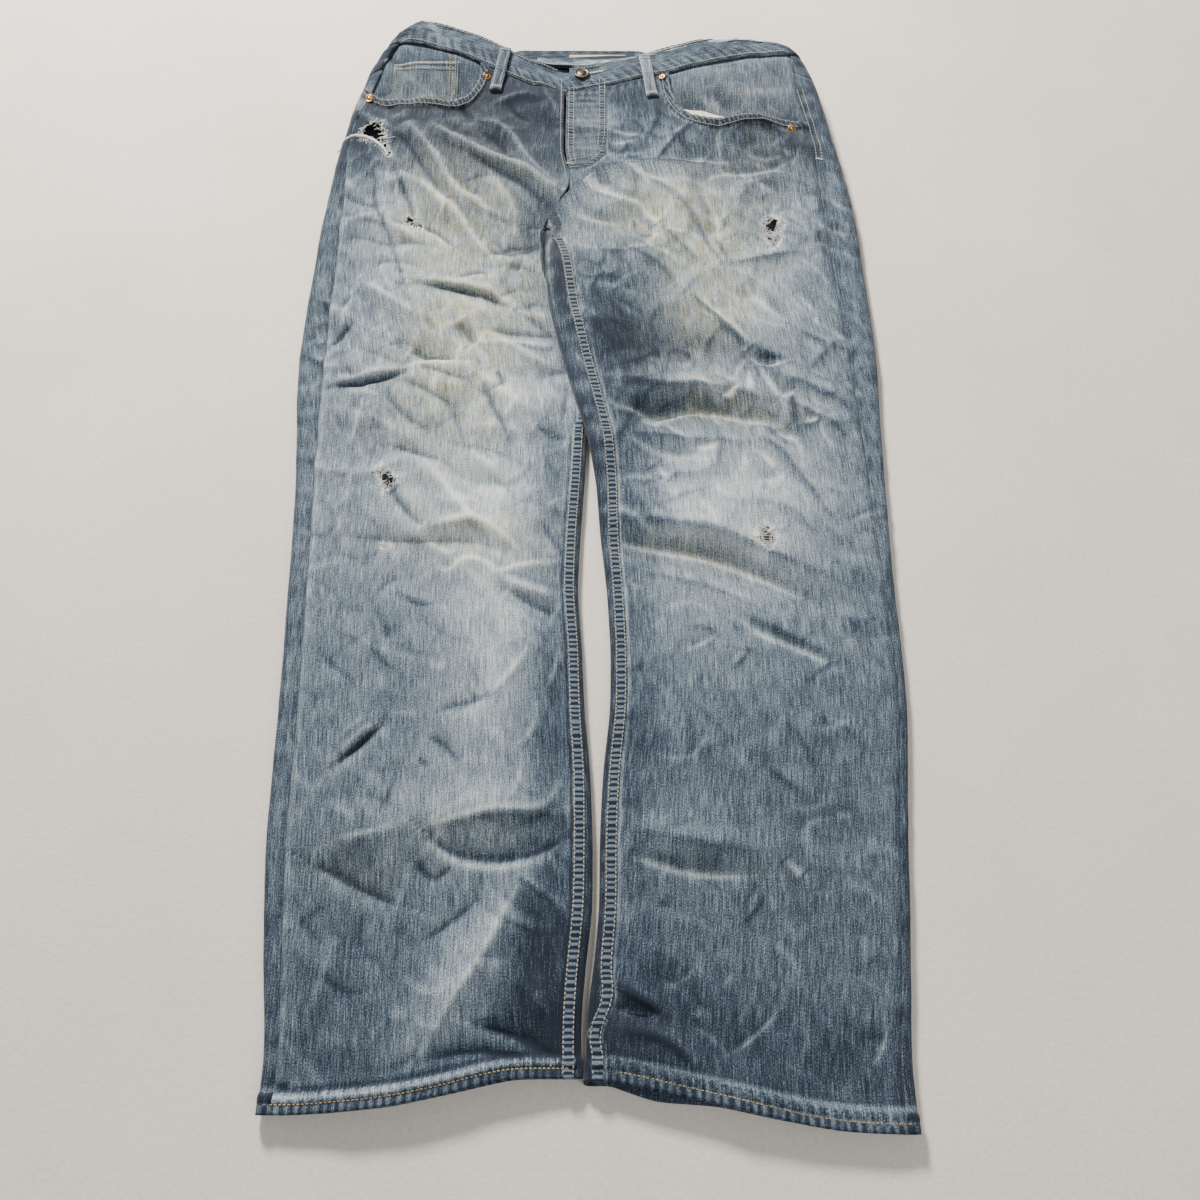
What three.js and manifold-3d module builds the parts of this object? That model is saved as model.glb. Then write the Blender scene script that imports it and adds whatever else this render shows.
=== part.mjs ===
// A pair of ripped five-pocket jeans laid flat, front up, as a three.js scene graph of its sewn pieces.
// Millimetres, +Z up, +Y from the hems to the waist, the floor at z = 0. "left" is -X, the wearer's right.
import * as THREE from "three";
import { mergeVertices } from "three/addons/utils/BufferGeometryUtils.js";
import Module from "manifold-3d";

const wasm = await Module();
wasm.setup();

// ---- Driving dimensions ----
const DENIM = 1.2; // thickness of the denim
const LINING = 1.0; // thickness of a pocket bag's cloth
const BAND = 2.6; // the waistband is folded denim
const HEM = 2.8; // the hem is turned twice
const SEAM = 0.3; // gap between sewn pieces
const HEM_DEPTH = 14; // depth of the hem
const BAND_WIDTH = 37; // waistband, from its seam to its top edge
const CROTCH = 862; // level where the legs join
const PLAIN_TOP = 985; // above it the levels bend to follow the waist
const WAIST = 1075; // level of the waist seam
const SEAT_LIFT = 1.5; // the seat lies on its back pockets
const BAND_LIFT = 1.9; // the band lies on its belt loops
const RIDE = 12.2; // the right thigh lies this high over the left one
const FOLD_RISE = 8.5; // step of the right front's fold over the foot of the fly
const BULGE = 4.5; // rise of a leg's front between its folds
const FLY_SLIT = -38; // the fly's front edge
const BAND_END = -34; // end of the upper band end
const BAND_UNDERLAP = 4; // end of the lower band end

const { max, min, abs, PI, cos, sin, acos, hypot } = Math;
const clamp = (v, lo = 0, hi = 1) => max(lo, min(hi, v));
const lerp = (a, b, t) => a + (b - a) * t;
const ramp = (a, b, v) => clamp((v - a) / (b - a)) ** 2 * (3 - 2 * clamp((v - a) / (b - a)));
const spaced = (a, b, n) => Array.from({ length: n + 1 }, (_, i) => lerp(a, b, i / n));
const vec = (x, y, z) => new THREE.Vector3(x, y, z);

// A smooth function through [s, value] points that never overshoots them.
function through(...points) {
  const slope = points.map(([, value], i) => {
    if (i === 0 || i === points.length - 1) return 0;
    const [s0, v0] = points[i - 1];
    const [s1, v1] = points[i + 1];
    return (value - v0) * (v1 - value) <= 0 ? 0 : (v1 - v0) / (s1 - s0);
  });
  return (s) => {
    const i = points.findIndex((p) => p[0] >= s);
    if (i === 0) return points[0][1];
    if (i < 0) return points.at(-1)[1];
    const [s0, v0] = points[i - 1];
    const [s1, v1] = points[i];
    const [h, t] = [s1 - s0, (s - s0) / (s1 - s0)];
    const u = 1 - t;
    const between = v0 * u * u * (1 + 2 * t) + v1 * t * t * (3 - 2 * t);
    return between + h * t * u * (slope[i - 1] * u - slope[i] * t);
  };
}

// ---- The outline, against the level s: the distance from the hem, up to the waist ----
// outer, inner: the folded sides of the leg; outseam, inseam: how far inside them the seams lie on top;
// round, innerRound: radius of the folds; hem: y of the hem's edge at x; open: the back hem shows past it.
const LEFT = {
  name: "left",
  sign: -1,
  outer: through([0, -247], [60, -248], [110, -254], [158, -259], [213, -265], [336, -269], [445, -274],
    [514, -277], [583, -282], [643, -289], [707, -293], [801, -290], [869, -287], [930, -282], [970, -277],
    [PLAIN_TOP, -274], [1030, -263], [1060, -252], [WAIST, -241], [WAIST + BAND_WIDTH, -208]),
  inner: through([0, -14], [89, -14], [129, -8.5], [158, -6], [213, -5.5], [272, -7], [311, -12], [396, -16],
    [445, -20], [514, -17], [583, -12.5], [640, -12], [707, -20], [752, -38], [775, -47], [810, -57.6],
    [840, -58.6], [CROTCH, -58.9]),
  outseam: through([0, 10], [85, 13], [185, 16], [485, 17], [585, 18], [685, 25], [785, 23], [885, 19],
    [945, 13], [990, 5], [WAIST, 3]),
  inseam: through([0, 9], [185, 11], [385, 7], [555, 8.5], [700, 7], [810, 5], [CROTCH, 0.4]),
  round: through([0, 5], [780, 5], [900, 8], [1010, 13], [WAIST, 17], [WAIST + BAND_WIDTH, 20]),
  innerRound: through([0, 5], [520, 4.5], [600, 4], [800, 4], [CROTCH, 1.6]),
  hem: through([-248, 24], [-198, 26], [-148, 31], [-100, 41], [-65, 49], [-14, 49]),
  open: () => 0,
};
const RIGHT = {
  name: "right",
  sign: 1,
  outer: through([0, 227], [50, 229], [109, 234], [153, 239], [213, 244], [287, 252], [346, 258], [445, 259],
    [583, 263], [643, 266], [707, 269], [841, 266], [907, 261], [973, 252], [PLAIN_TOP, 250], [1030, 242],
    [1060, 234], [WAIST, 227], [WAIST + BAND_WIDTH, 203]),
  inner: through([0, -10.5], [54, -10.5], [89, -8], [114, -5], [158, -1], [213, -0.5], [262, 1], [297, 4],
    [346, 9], [396, 9], [435, 7], [485, 1], [534, -1], [583, -7], [618, -15], [657, -27], [707, -40],
    [752, -50], [791, -54], [810, -55.8], [840, -56.8], [CROTCH, -57.1]),
  outseam: through([0, 12], [85, 7], [385, 7], [485, 11], [585, 17], [685, 25], [785, 31], [885, 32],
    [985, 25], [1045, 26], [WAIST, 24]),
  inseam: through([0, 9], [385, 9], [535, 13], [635, 21], [735, 24], [810, 22], [845, 14], [CROTCH, 0.4]),
  round: through([0, 5], [780, 5], [900, 7], [1010, 10], [WAIST, 13], [WAIST + BAND_WIDTH, 15.5]),
  innerRound: through([0, 5], [520, 4.5], [600, 4], [800, 4], [CROTCH, 1.6]),
  hem: through([-11, 49], [65, 36], [115, 25], [165, 15], [227, 12]),
  open: through([12, 0], [30, 8], [60, 8], [92, 0]),
};

// Seams of the middle: x of the rise seam on the front and of the seat seam on the back.
const rise = through([CROTCH, -58], [875, -54], [895, -42], [912, -33], [930, -31], [945, -33],
  [960, FLY_SLIT]);
const seat = through([CROTCH, -58], [875, -54], [890, -46], [905, -38], [925, -30], [950, -24],
  [PLAIN_TOP, -22]);
const riseHeight = through([CROTCH, 6], [875, 9], [905, 12], [1000, 16], [WAIST, 19.5],
  [WAIST + BAND_WIDTH, 19.5]);
// The waist seam's y at x, on the front and on the back, and the yoke seam's level from seat to side.
const waistFront = through([-241, 1108], [-179, 1096], [-127, 1080], [-49, 1050], [0, 1055], [69, 1071],
  [137, 1085], [194, 1094], [227, 1099]);
const waistBack = through([-241, 1108], [-150, 1086], [-60, 1081], [60, 1081], [150, 1084], [227, 1099]);
const yokeSeam = through([0, 1012], [1, 1056]);

// ---- Heights of the middle surface of the cloth ----
// How high the right thigh lies on the left one.
const ride = (x, s) =>
  RIDE * ramp(520, 612, s) * (1 - ramp(800, 858, s)) * (1 - ramp(LEFT.inner(s) + 3, LEFT.inner(s) + 45, x));

function floor(side, x, s) {
  if (s > WAIST) return BAND / 2 + BAND_LIFT;
  const cloth = lerp(HEM, DENIM, ramp(HEM_DEPTH - 1, HEM_DEPTH, s)) / 2;
  return cloth + SEAT_LIFT * ramp(CROTCH - 60, CROTCH, s) + (side.sign > 0 && s < CROTCH ? ride(x, s) : 0);
}

// The fold of the right thigh over the foot of the fly: the cloth on the leg's side of it is higher.
const foldLine = through([-70, 848], [-52, 872], [-20, 910], [5, 930], [60, 936], [140, 944]);
const foldOver = (x, s) => {
  const inside = RIGHT.inner(min(s, CROTCH));
  return FOLD_RISE * (1 - ramp(-7, 7, s - foldLine(x))) * (1 - ramp(20, 150, x)) * ramp(690, 850, s)
    * ramp(inside, inside + 14, x);
};

// The largest soft folds of the fronts: from, to, half width, height.
const FOLDS = [
  { from: [-235, 1000], to: [-60, 895], half: 26, height: 4.5 },
  { from: [-205, 880], to: [-95, 800], half: 24, height: 3.5 },
  { from: [-262, 690], to: [-90, 652], half: 26, height: 4.5 },
  { from: [-200, 560], to: [-60, 470], half: 26, height: 3.5 },
  { from: [-240, 255], to: [-35, 205], half: 30, height: 4 },
  { from: [-150, 60], to: [-60, 190], half: 26, height: 3.5 },
  { from: [60, 1000], to: [190, 975], half: 26, height: 3.5 },
  { from: [35, 845], to: [120, 720], half: 26, height: 3.5 },
  { from: [140, 745], to: [235, 640], half: 24, height: 4.5 },
  { from: [40, 520], to: [190, 445], half: 28, height: 4 },
  { from: [60, 385], to: [225, 325], half: 26, height: 3 },
  { from: [40, 230], to: [190, 190], half: 28, height: 3 },
];
const folds = (x, s) => FOLDS.reduce((sum, { from, to, half, height }) => {
  const [dx, ds] = [to[0] - from[0], to[1] - from[1]];
  const along = ((x - from[0]) * dx + (s - from[1]) * ds) / (dx * dx + ds * ds);
  const away = abs((x - from[0]) * ds - (s - from[1]) * dx) / hypot(dx, ds);
  return sum + height * (1 - ramp(0.3, 0.62, abs(along - 0.5))) * (1 - ramp(0, half, away));
}, 0);

function front(side, x, s) {
  const leg = s <= CROTCH;
  const outer = side.outer(s) - side.sign * side.round(s);
  const inner = leg ? side.inner(s) + side.sign * side.innerRound(s) : rise(s);
  const u = clamp((x - outer) / (inner - outer));
  const outerTop = floor(side, outer, s) + 2 * side.round(s);
  const innerTop = leg ? floor(side, inner, s) + 2 * side.innerRound(s) : riseHeight(s);
  const belly = ramp(0, 0.35, u) * (1 - ramp(0.65, 1, u)) * (1 - ramp(PLAIN_TOP, WAIST, s) * 0.7);
  return lerp(outerTop, innerTop, ramp(0, 1, u)) + belly * (BULGE + folds(x, s))
    + (side.sign > 0 ? foldOver(x, s) : 0);
}

// Levels bend to the slanting hem below 150 and to the waist line above PLAIN_TOP; top: 1 front, 0 back.
function levelY(side, x, s, top) {
  const edge = 150;
  if (s < edge) return lerp(side.hem(x) - side.open(x) * (1 - top), edge, s / edge);
  if (s < PLAIN_TOP) return s;
  const waist = lerp(waistBack(x), waistFront(x), top);
  if (s > WAIST) return waist + (s - WAIST) * 0.97;
  return lerp(PLAIN_TOP, waist, (s - PLAIN_TOP) / (WAIST - PLAIN_TOP));
}

// The point at level s, and at distance d along the cloth from the extreme of the outer (or inner) fold:
// over the leg for d > 0, under it for d < 0.
function around(side, s, d, inside = false) {
  const sign = inside ? -side.sign : side.sign;
  const r = inside ? side.innerRound(s) : side.round(s);
  const edge = inside ? side.inner(s) : side.outer(s);
  const quarter = (PI / 2) * r;
  const turn = clamp(d / r, -PI / 2, PI / 2);
  const x = edge - sign * (r * (1 - cos(turn)) + max(0, abs(d) - quarter));
  const y = levelY(side, x, s, (1 + sin(turn)) / 2);
  if (d > quarter) return vec(x, y, front(side, x, s));
  if (d < -quarter) return vec(x, y, floor(side, x, s));
  return vec(x, y, floor(side, edge - sign * r, s) + r * (1 + sin(turn)));
}
// The same point with its outward normal, for the side's own cloth and what is made from it.
const NORMAL_STEP = { s: 6, d: 1 };
function clothPoint(side, s, d, inside = false) {
  const point = around(side, s, d, inside);
  const across = around(side, s, d + NORMAL_STEP.d, inside).sub(around(side, s, d - NORMAL_STEP.d, inside));
  const along = around(side, s + NORMAL_STEP.s, d, inside).sub(around(side, s - NORMAL_STEP.s, d, inside));
  point.normal = across.cross(along).multiplyScalar(inside ? side.sign : -side.sign).normalize();
  return point;
}
// The distance d of the place that lies `inset` inside a fold of radius r, on top of it.
const over = (r, inset) => (inset > r ? (PI / 2) * r + inset - r : r * acos(1 - inset / r));
const sideSeam = (side, s) => over(side.round(s), side.outseam(min(s, WAIST)));

// ---- Solids ----
function solid(geometry) {
  geometry.deleteAttribute("normal");
  geometry.deleteAttribute("uv");
  const merged = mergeVertices(geometry, 1e-4);
  const vertProperties = merged.attributes.position.array;
  const triVerts = new Uint32Array(merged.index.array);
  const made = new wasm.Manifold(new wasm.Mesh({ numProp: 3, vertProperties, triVerts }));
  if (made.volume() > 0) return made;
  return new wasm.Manifold(new wasm.Mesh({ numProp: 3, vertProperties, triVerts: triVerts.reverse() }));
}

// A wall of cloth about a grid of middle points. out: which way its outside faces where the points hold no
// normal; lift: how far it is moved outward; thick(i): thickness at row i; keep(i, j): which cells exist.
function wall(grid, options = {}) {
  const { out = 1, thickness = DENIM, lift = 0, thick = () => thickness, keep = () => true } = options;
  const [rows, cols] = [grid.length, grid[0].length];
  const at = (i, j) => grid[clamp(i, 0, rows - 1)][clamp(j, 0, cols - 1)];
  const skins = [[], []];
  for (let i = 0; i < rows; i++)
    for (let j = 0; j < cols; j++) {
      const across = at(i, j + 1).clone().sub(at(i, j - 1));
      const along = at(i + 1, j).clone().sub(at(i - 1, j));
      const normal = at(i, j).normal ?? across.cross(along).normalize().multiplyScalar(out);
      skins[0].push(at(i, j).clone().addScaledVector(normal, lift + thick(i) / 2));
      skins[1].push(at(i, j).clone().addScaledVector(normal, lift - thick(i) / 2));
    }
  const index = [];
  const quad = (a, b, c, d) => index.push(a, b, c, a, c, d);
  const rim = new Map();
  for (let i = 0; i < rows - 1; i++)
    for (let j = 0; j < cols - 1; j++) {
      if (!keep(i, j)) continue;
      const corners = [i * cols + j, i * cols + j + 1, (i + 1) * cols + j + 1, (i + 1) * cols + j];
      const [a, b, c, d] = corners.map((corner) => corner + rows * cols);
      quad(...corners);
      index.push(a, c, b, a, d, c);
      corners.forEach((from, k) => {
        const to = corners[(k + 1) % 4];
        if (!rim.delete(`${to},${from}`)) rim.set(`${from},${to}`, [from, to]);
      });
    }
  for (const [a, b] of rim.values()) quad(b, a, a + rows * cols, b + rows * cols);
  const position = new Float32Array(skins.flat().flatMap((p) => p.toArray()));
  const geometry = new THREE.BufferGeometry();
  geometry.setAttribute("position", new THREE.BufferAttribute(position, 3));
  geometry.setIndex(index);
  return solid(geometry);
}

// An upright prism over an outline of [x, y] points.
function prism(outline) {
  const shape = new THREE.Shape(outline.map(([x, y]) => new THREE.Vector2(x, y)));
  return solid(new THREE.ExtrudeGeometry(shape, { depth: 100, bevelEnabled: false }).translate(0, 0, -5));
}

// A turned body from a profile of [radius, height] points, standing on `base` along `axis`.
function turned(profile, base, axis, segments = 20) {
  const closed = [[0, profile[0][1]], ...profile, [0, profile.at(-1)[1]]];
  const lathe = new THREE.LatheGeometry(closed.map(([r, h]) => new THREE.Vector2(r, h)), segments);
  lathe.applyQuaternion(new THREE.Quaternion().setFromUnitVectors(vec(0, 1, 0), axis));
  return solid(lathe.translate(...base.toArray()));
}

const jeans = new THREE.Group();
const DENIM_BLUE = { color: 0x6f8494, roughness: 0.92, metalness: 0 };
const WHITE_LINING = { color: 0xd9d4c8, roughness: 0.95, metalness: 0 };
const LABEL_CLOTH = { color: 0xd8d0ae, roughness: 0.8, metalness: 0 };
const COPPER = { color: 0x9a7552, roughness: 0.4, metalness: 1 };
const DARK_METAL = { color: 0x3a3632, roughness: 0.45, metalness: 1 };

function add(name, made, material = DENIM_BLUE) {
  const { vertProperties, triVerts } = made.getMesh();
  const geometry = new THREE.BufferGeometry();
  geometry.setAttribute("position", new THREE.BufferAttribute(new Float32Array(vertProperties), 3));
  geometry.setIndex(new THREE.BufferAttribute(new Uint32Array(triVerts), 1));
  geometry.computeVertexNormals();
  const mesh = new THREE.Mesh(geometry, new THREE.MeshStandardMaterial(material));
  mesh.name = name;
  jeans.add(mesh);
}

// ---- Pocket mouths, rips, rivets and the button: what is cut out of the cloth ----
const MOUTHS = {
  left: [[-272, 1066], [-260, 1055], [-249, 1040], [-238, 1031], [-213, 1026], [-171, 1024], [-148, 1031],
    [-137, 1046], [-132, 1062], [-131, 1090]],
  right: [[75, 1085], [77, 1050], [83, 1028], [93, 1010], [108, 999], [129, 996], [155, 1001], [182, 1003],
    [214, 1000]],
};
// The cloth above a pocket's mouth, as an outline that runs past the waist and the side. `inset` shrinks it.
function mouthRegion(side, inset = 0) {
  const curve = MOUTHS[side.name].map(([x, y]) => [x + side.sign * inset * 0.6, y + inset]);
  const [near, far] = side.sign < 0 ? [curve.at(-1), curve[0]] : [curve[0], curve.at(-1)];
  const beyond = [[near[0], 1180], [side.sign * 330, 1180], [side.sign * 330, far[1]]];
  return side.sign < 0 ? [...curve, ...beyond] : [...curve, ...beyond.reverse()];
}

// Rips: an ellipse with an uneven rim, at x, y, with its half sizes and its turn.
const RIPS = {
  left: [[-240, 974, 12, 12.5, 0.4], [-224, 954, 8, 3, -1.0], [-194, 866, 5, 3, 0.2], [-197, 554, 9, 5, 0.3],
    [-190, 488, 3.5, 2.5, 0]],
  right: [[179, 857, 7, 5, 0.5], [147, 495, 9, 4, 0.1]],
};
const ragged = (x, y, halfX, halfY, turn) => Array.from({ length: 12 }, (_, k) => {
  const a = (k / 12) * 2 * PI;
  const uneven = 1 + 0.16 * sin(3 * a + 5 * turn) + 0.1 * sin(5 * a + 1);
  const [u, v] = [halfX * cos(a) * uneven, halfY * sin(a) * uneven];
  return [x + u * cos(turn) - v * sin(turn), y + u * sin(turn) + v * cos(turn)];
});

// Where the upright line at x, y meets a grid's triangles, from the top down.
function hits(grid, x, y) {
  const found = [];
  const test = (a, b, c) => {
    const area = (b.x - a.x) * (c.y - a.y) - (c.x - a.x) * (b.y - a.y);
    const v = ((x - a.x) * (c.y - a.y) - (c.x - a.x) * (y - a.y)) / area;
    const w = ((b.x - a.x) * (y - a.y) - (x - a.x) * (b.y - a.y)) / area;
    if (v < 0 || w < 0 || v + w > 1) return;
    const normal = b.clone().sub(a).cross(c.clone().sub(a)).normalize();
    found.push({ point: vec(x, y, a.z + v * (b.z - a.z) + w * (c.z - a.z)),
      normal: normal.z < 0 ? normal.negate() : normal });
  };
  for (let i = 0; i < grid.length - 1; i++)
    for (let j = 0; j < grid[0].length - 1; j++) {
      test(grid[i][j], grid[i][j + 1], grid[i + 1][j + 1]);
      test(grid[i][j], grid[i + 1][j + 1], grid[i + 1][j]);
    }
  return found.sort((p, q) => q.point.z - p.point.z);
}

// A rivet has a domed head, a shank through the front and the facing, and a flat back plate.
const RIVETS = [
  { name: "rivet_left_side", side: "left", x: -250, y: 1030, radius: 4.8 },
  { name: "rivet_left_front", side: "left", x: -124, y: 1064, radius: 4.8 },
  { name: "rivet_right_front", side: "right", x: 68.5, y: 1065, radius: 3.8 },
  { name: "rivet_right_side", side: "right", x: 206, y: 991, radius: 4.8 },
];
const CLEAR = 0.25; // between a rivet or the button and the cloth it grips
function rivetBodies(grid, { x, y, radius }) {
  const { point, normal } = hits(grid, x, y)[0];
  const head = DENIM / 2 + CLEAR;
  const back = -(DENIM * 1.5 + SEAM + CLEAR);
  const profile = [[radius * 0.8, back - 0.7], [radius * 0.8, back], [1.4, back], [1.4, head], [radius, head],
    [radius, head + 0.5], [radius * 0.7, head + 1.1], [radius * 0.3, head + 1.1], [radius * 0.2, head + 1.6]];
  const bore = [[1.4 + CLEAR, back - 2], [1.4 + CLEAR, head + 3]];
  return { body: turned(profile, point, normal, 14), bore: turned(bore, point, normal, 10) };
}

// ---- Rows of the panels ----
const LEG_ROWS = [0, HEM_DEPTH - 1, HEM_DEPTH, 60, 115, 170, 225, 280, 335, 390, 445, 500, 555, 605, 655, 705,
  755, 810, 840, CROTCH];
const PELVIS_ROWS = [875, 890, 905, 920, 938, 960, PLAIN_TOP];
const TOP_CELLS = 3;
const PANEL_TOP = WAIST - 2 * SEAM;
// The inseams' gap widens to the crotch, where four panels meet.
const inseamGap = (s) => lerp(SEAM, 1.4, ramp(790, CROTCH, s));
const hemThick = (i) => (i < 2 ? HEM : DENIM);
const FRONT_ROWS = [...LEG_ROWS, ...PELVIS_ROWS, ...spaced(PLAIN_TOP, PANEL_TOP, TOP_CELLS).slice(1)];
const FRONT_CELLS = 10;

function frontGrid(side) {
  return FRONT_ROWS.map((s) => {
    const innerX = s <= CROTCH ? side.inner(s) + side.sign * side.inseam(s) : rise(s);
    const start = sideSeam(side, s) + SEAM / 2;
    const gap = s <= CROTCH ? inseamGap(s) : SEAM;
    const end = over(side.round(s), abs(side.outer(s) - innerX)) - gap / 2;
    const points = spaced(start, end, FRONT_CELLS).map((d) => clothPoint(side, s, d));
    const [inset, r] = [side.inseam(s), side.innerRound(s)];
    const onInnerFold = s <= CROTCH && inset < r;
    if (onInnerFold) points[FRONT_CELLS] = clothPoint(side, s, over(r, inset) + gap / 2, true);
    return points;
  });
}

// The back panel starts on top at the inseam, passes the inner fold and goes under the leg to the outer
// fold and the outseam on top. Above the crotch it starts at the seat seam.
const WRAP = 4; // cells round the inner fold
const UNDER = 5; // cells under the leg
const SIDE = 4; // cells round the outer fold
function backRow(side, levels) {
  return spaced(0, 1, UNDER + SIDE).map((u, k) => {
    const s = levels(u);
    const quarter = (PI / 2) * side.round(s);
    const legStart = side.inner(s) + side.sign * side.innerRound(s);
    const start = s <= CROTCH ? legStart : seat(s) + side.sign * SEAM / 2;
    const under = -(quarter + abs(side.outer(s) - side.sign * side.round(s) - start));
    const d = k <= UNDER ? lerp(under, -quarter, k / UNDER)
      : lerp(-quarter, sideSeam(side, s) - SEAM / 2, (k - UNDER) / SIDE);
    return clothPoint(side, s, d);
  });
}
function backPanel(side) {
  const plain = [...LEG_ROWS, ...PELVIS_ROWS].map((s) => () => s);
  const shaped = [0.5, 1].map((t) => (u) => lerp(PLAIN_TOP, yokeSeam(u) - SEAM, t));
  const grid = [...plain, ...shaped].map((levels) => {
    const s = levels(0);
    const r = side.innerRound(s);
    const wrap = spaced(over(r, side.inseam(s)) - inseamGap(s) / 2, (-PI / 2) * r, WRAP).slice(0, WRAP);
    return [...wrap.map((d) => clothPoint(side, s, d, true)), ...backRow(side, levels)];
  });
  const crotchRow = LEG_ROWS.length - 1;
  return wall(grid, { thick: hemThick, keep: (i, j) => i < crotchRow || j >= WRAP });
}
function yoke(side) {
  const rows = [0, 0.5, 1].map((t) => (u) => lerp(yokeSeam(u) + SEAM, PANEL_TOP, t));
  return wall(rows.map((levels) => backRow(side, levels)));
}

// ---- Waistband: from its upper end at the fly, round the right side, the back and the left side, and on
// under its upper end ----
function bandPoint(s, part, t) {
  if (part === "right") return bandTop(RIGHT, s, lerp(BAND_END, RIGHT.outer(s) - RIGHT.round(s), t));
  if (part === "left") return bandTop(LEFT, s, lerp(LEFT.outer(s) + LEFT.round(s), BAND_UNDERLAP, t));
  if (part === "right_side") return around(RIGHT, s, RIGHT.round(s) * lerp(PI / 2, -PI / 2, t));
  if (part === "left_side") return around(LEFT, s, LEFT.round(s) * lerp(-PI / 2, PI / 2, t));
  const x = lerp(RIGHT.outer(s) - RIGHT.round(s), LEFT.outer(s) + LEFT.round(s), t);
  return vec(x, levelY(LEFT, x, s, 0), floor(LEFT, x, s));
}
// The lower end of the band dives under the upper one.
function bandTop(side, s, x) {
  const dive = side.sign < 0 ? (BAND + 2 * SEAM) * ramp(-66, BAND_END - 5, x) : 0;
  const height = x * side.sign < rise(s) * side.sign ? riseHeight(s) : front(side, x, s);
  return vec(x, levelY(side, x, s, 1), height - dive);
}
function bandGrid() {
  const parts = [["right", 8], ["right_side", 5], ["back", 6], ["left_side", 5], ["left", 9]];
  return spaced(WAIST + 2 * SEAM, WAIST + BAND_WIDTH, 3).map((s) => {
    const points = parts.flatMap(([part, n]) => spaced(0, 1, n).slice(1).map((t) => bandPoint(s, part, t)));
    return [bandPoint(s, "right", 0), ...points];
  });
}

// ---- Pieces made from the panels' points, moved out or in ----
const LAYER = DENIM + SEAM;
const TOP_Y = 1180; // past the waist
const SIDE_X = 330; // past the sides
const fronts = { left: frontGrid(LEFT), right: frontGrid(RIGHT) };
const band = bandGrid();
const polygon = (...points) => prism(points);
const rowsFrom = (grid, s) => grid.slice(FRONT_ROWS.findLastIndex((row) => row <= s));

const rivets = RIVETS.map((r) => ({ ...r, ...rivetBodies(fronts[r.side], r) }));
function pierced(made, side) {
  const here = rivets.filter((r) => r.side === side.name);
  return here.reduce((cloth, r) => cloth.subtract(r.bore), made);
}

function frontPanel(side) {
  const cuts = [prism(mouthRegion(side)), ...RIPS[side.name].map((rip) => prism(ragged(...rip)))];
  const cloth = wall(fronts[side.name], { thick: hemThick });
  return pierced(cuts.reduce((rest, cut) => rest.subtract(cut), cloth), side);
}

// The facing hangs from the waist behind the mouth, a little further from the outseam than the front.
const FACING = { left: { bottom: 992, inner: -112 }, right: { bottom: 968, inner: 60 } };
function setBack([first, second, ...rest]) {
  const moved = first.clone().lerp(second, 0.04);
  moved.normal = first.normal;
  return [moved, second, ...rest];
}
function pocketFacing(side) {
  const { bottom, inner } = FACING[side.name];
  const far = side.sign * SIDE_X;
  const shape = polygon([inner, TOP_Y], [inner, bottom], [far, bottom], [far, TOP_Y]);
  const cloth = wall(rowsFrom(fronts[side.name], bottom).map(setBack), { lift: -LAYER });
  return pierced(cloth.intersect(shape), side);
}

// The pocket bag is a flat pouch behind the facing, open at the top.
const BAG = { left: { bottom: 888, side: -243, inner: -128 }, right: { bottom: 888, side: 202, inner: 62 } };
const BAG_TOP = 1030;
const BAG_THICKNESS = 3.4 * LINING;
const BAG_CORNER = 25;
function bagShape({ bottom, side, inner }, inset, top) {
  const turn = Math.sign(side);
  const [outerX, innerX] = [side - turn * inset, inner + turn * inset];
  return polygon([outerX, bottom + BAG_CORNER], [outerX - turn * BAG_CORNER, bottom + inset],
    [innerX + turn * BAG_CORNER, bottom + inset], [innerX, bottom + BAG_CORNER], [innerX, top], [outerX, top]);
}
function pocketBag(side) {
  const bag = BAG[side.name];
  const rows = rowsFrom(fronts[side.name], bag.bottom);
  const lift = -LAYER - DENIM / 2 - SEAM - BAG_THICKNESS / 2;
  const outside = wall(rows, { lift, thickness: BAG_THICKNESS });
  const inside = wall(rows, { lift, thickness: BAG_THICKNESS - 2 * LINING });
  const pouch = outside.intersect(bagShape(bag, 0, BAG_TOP));
  return pouch.subtract(inside.intersect(bagShape(bag, LINING, BAG_TOP + 10)));
}

// The coin pocket lies on the left facing and ends at the edge of the pocket's mouth.
function coinPocket() {
  const shape = polygon([-234, 1086], [-243, 1056], [-240, 1010], [-160, 1010], [-151, 1049]);
  return wall(rowsFrom(fronts.left, 1000)).intersect(shape).intersect(prism(mouthRegion(LEFT, 0.4)));
}

// The fly's underlap runs from behind the left front's edge on behind the right front.
function flyUnderlap() {
  const lastCells = (row, n) => row.slice(FRONT_CELLS - n);
  const right = rowsFrom(fronts.right, 960);
  const joined = rowsFrom(fronts.left, 960).map((row, i) =>
    [...lastCells(row, 1), ...lastCells(right[i], 2).reverse()]);
  return wall(joined, { lift: -LAYER }).intersect(polygon([-56, 962], [2, 980], [2, TOP_Y], [-56, TOP_Y]));
}

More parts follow.
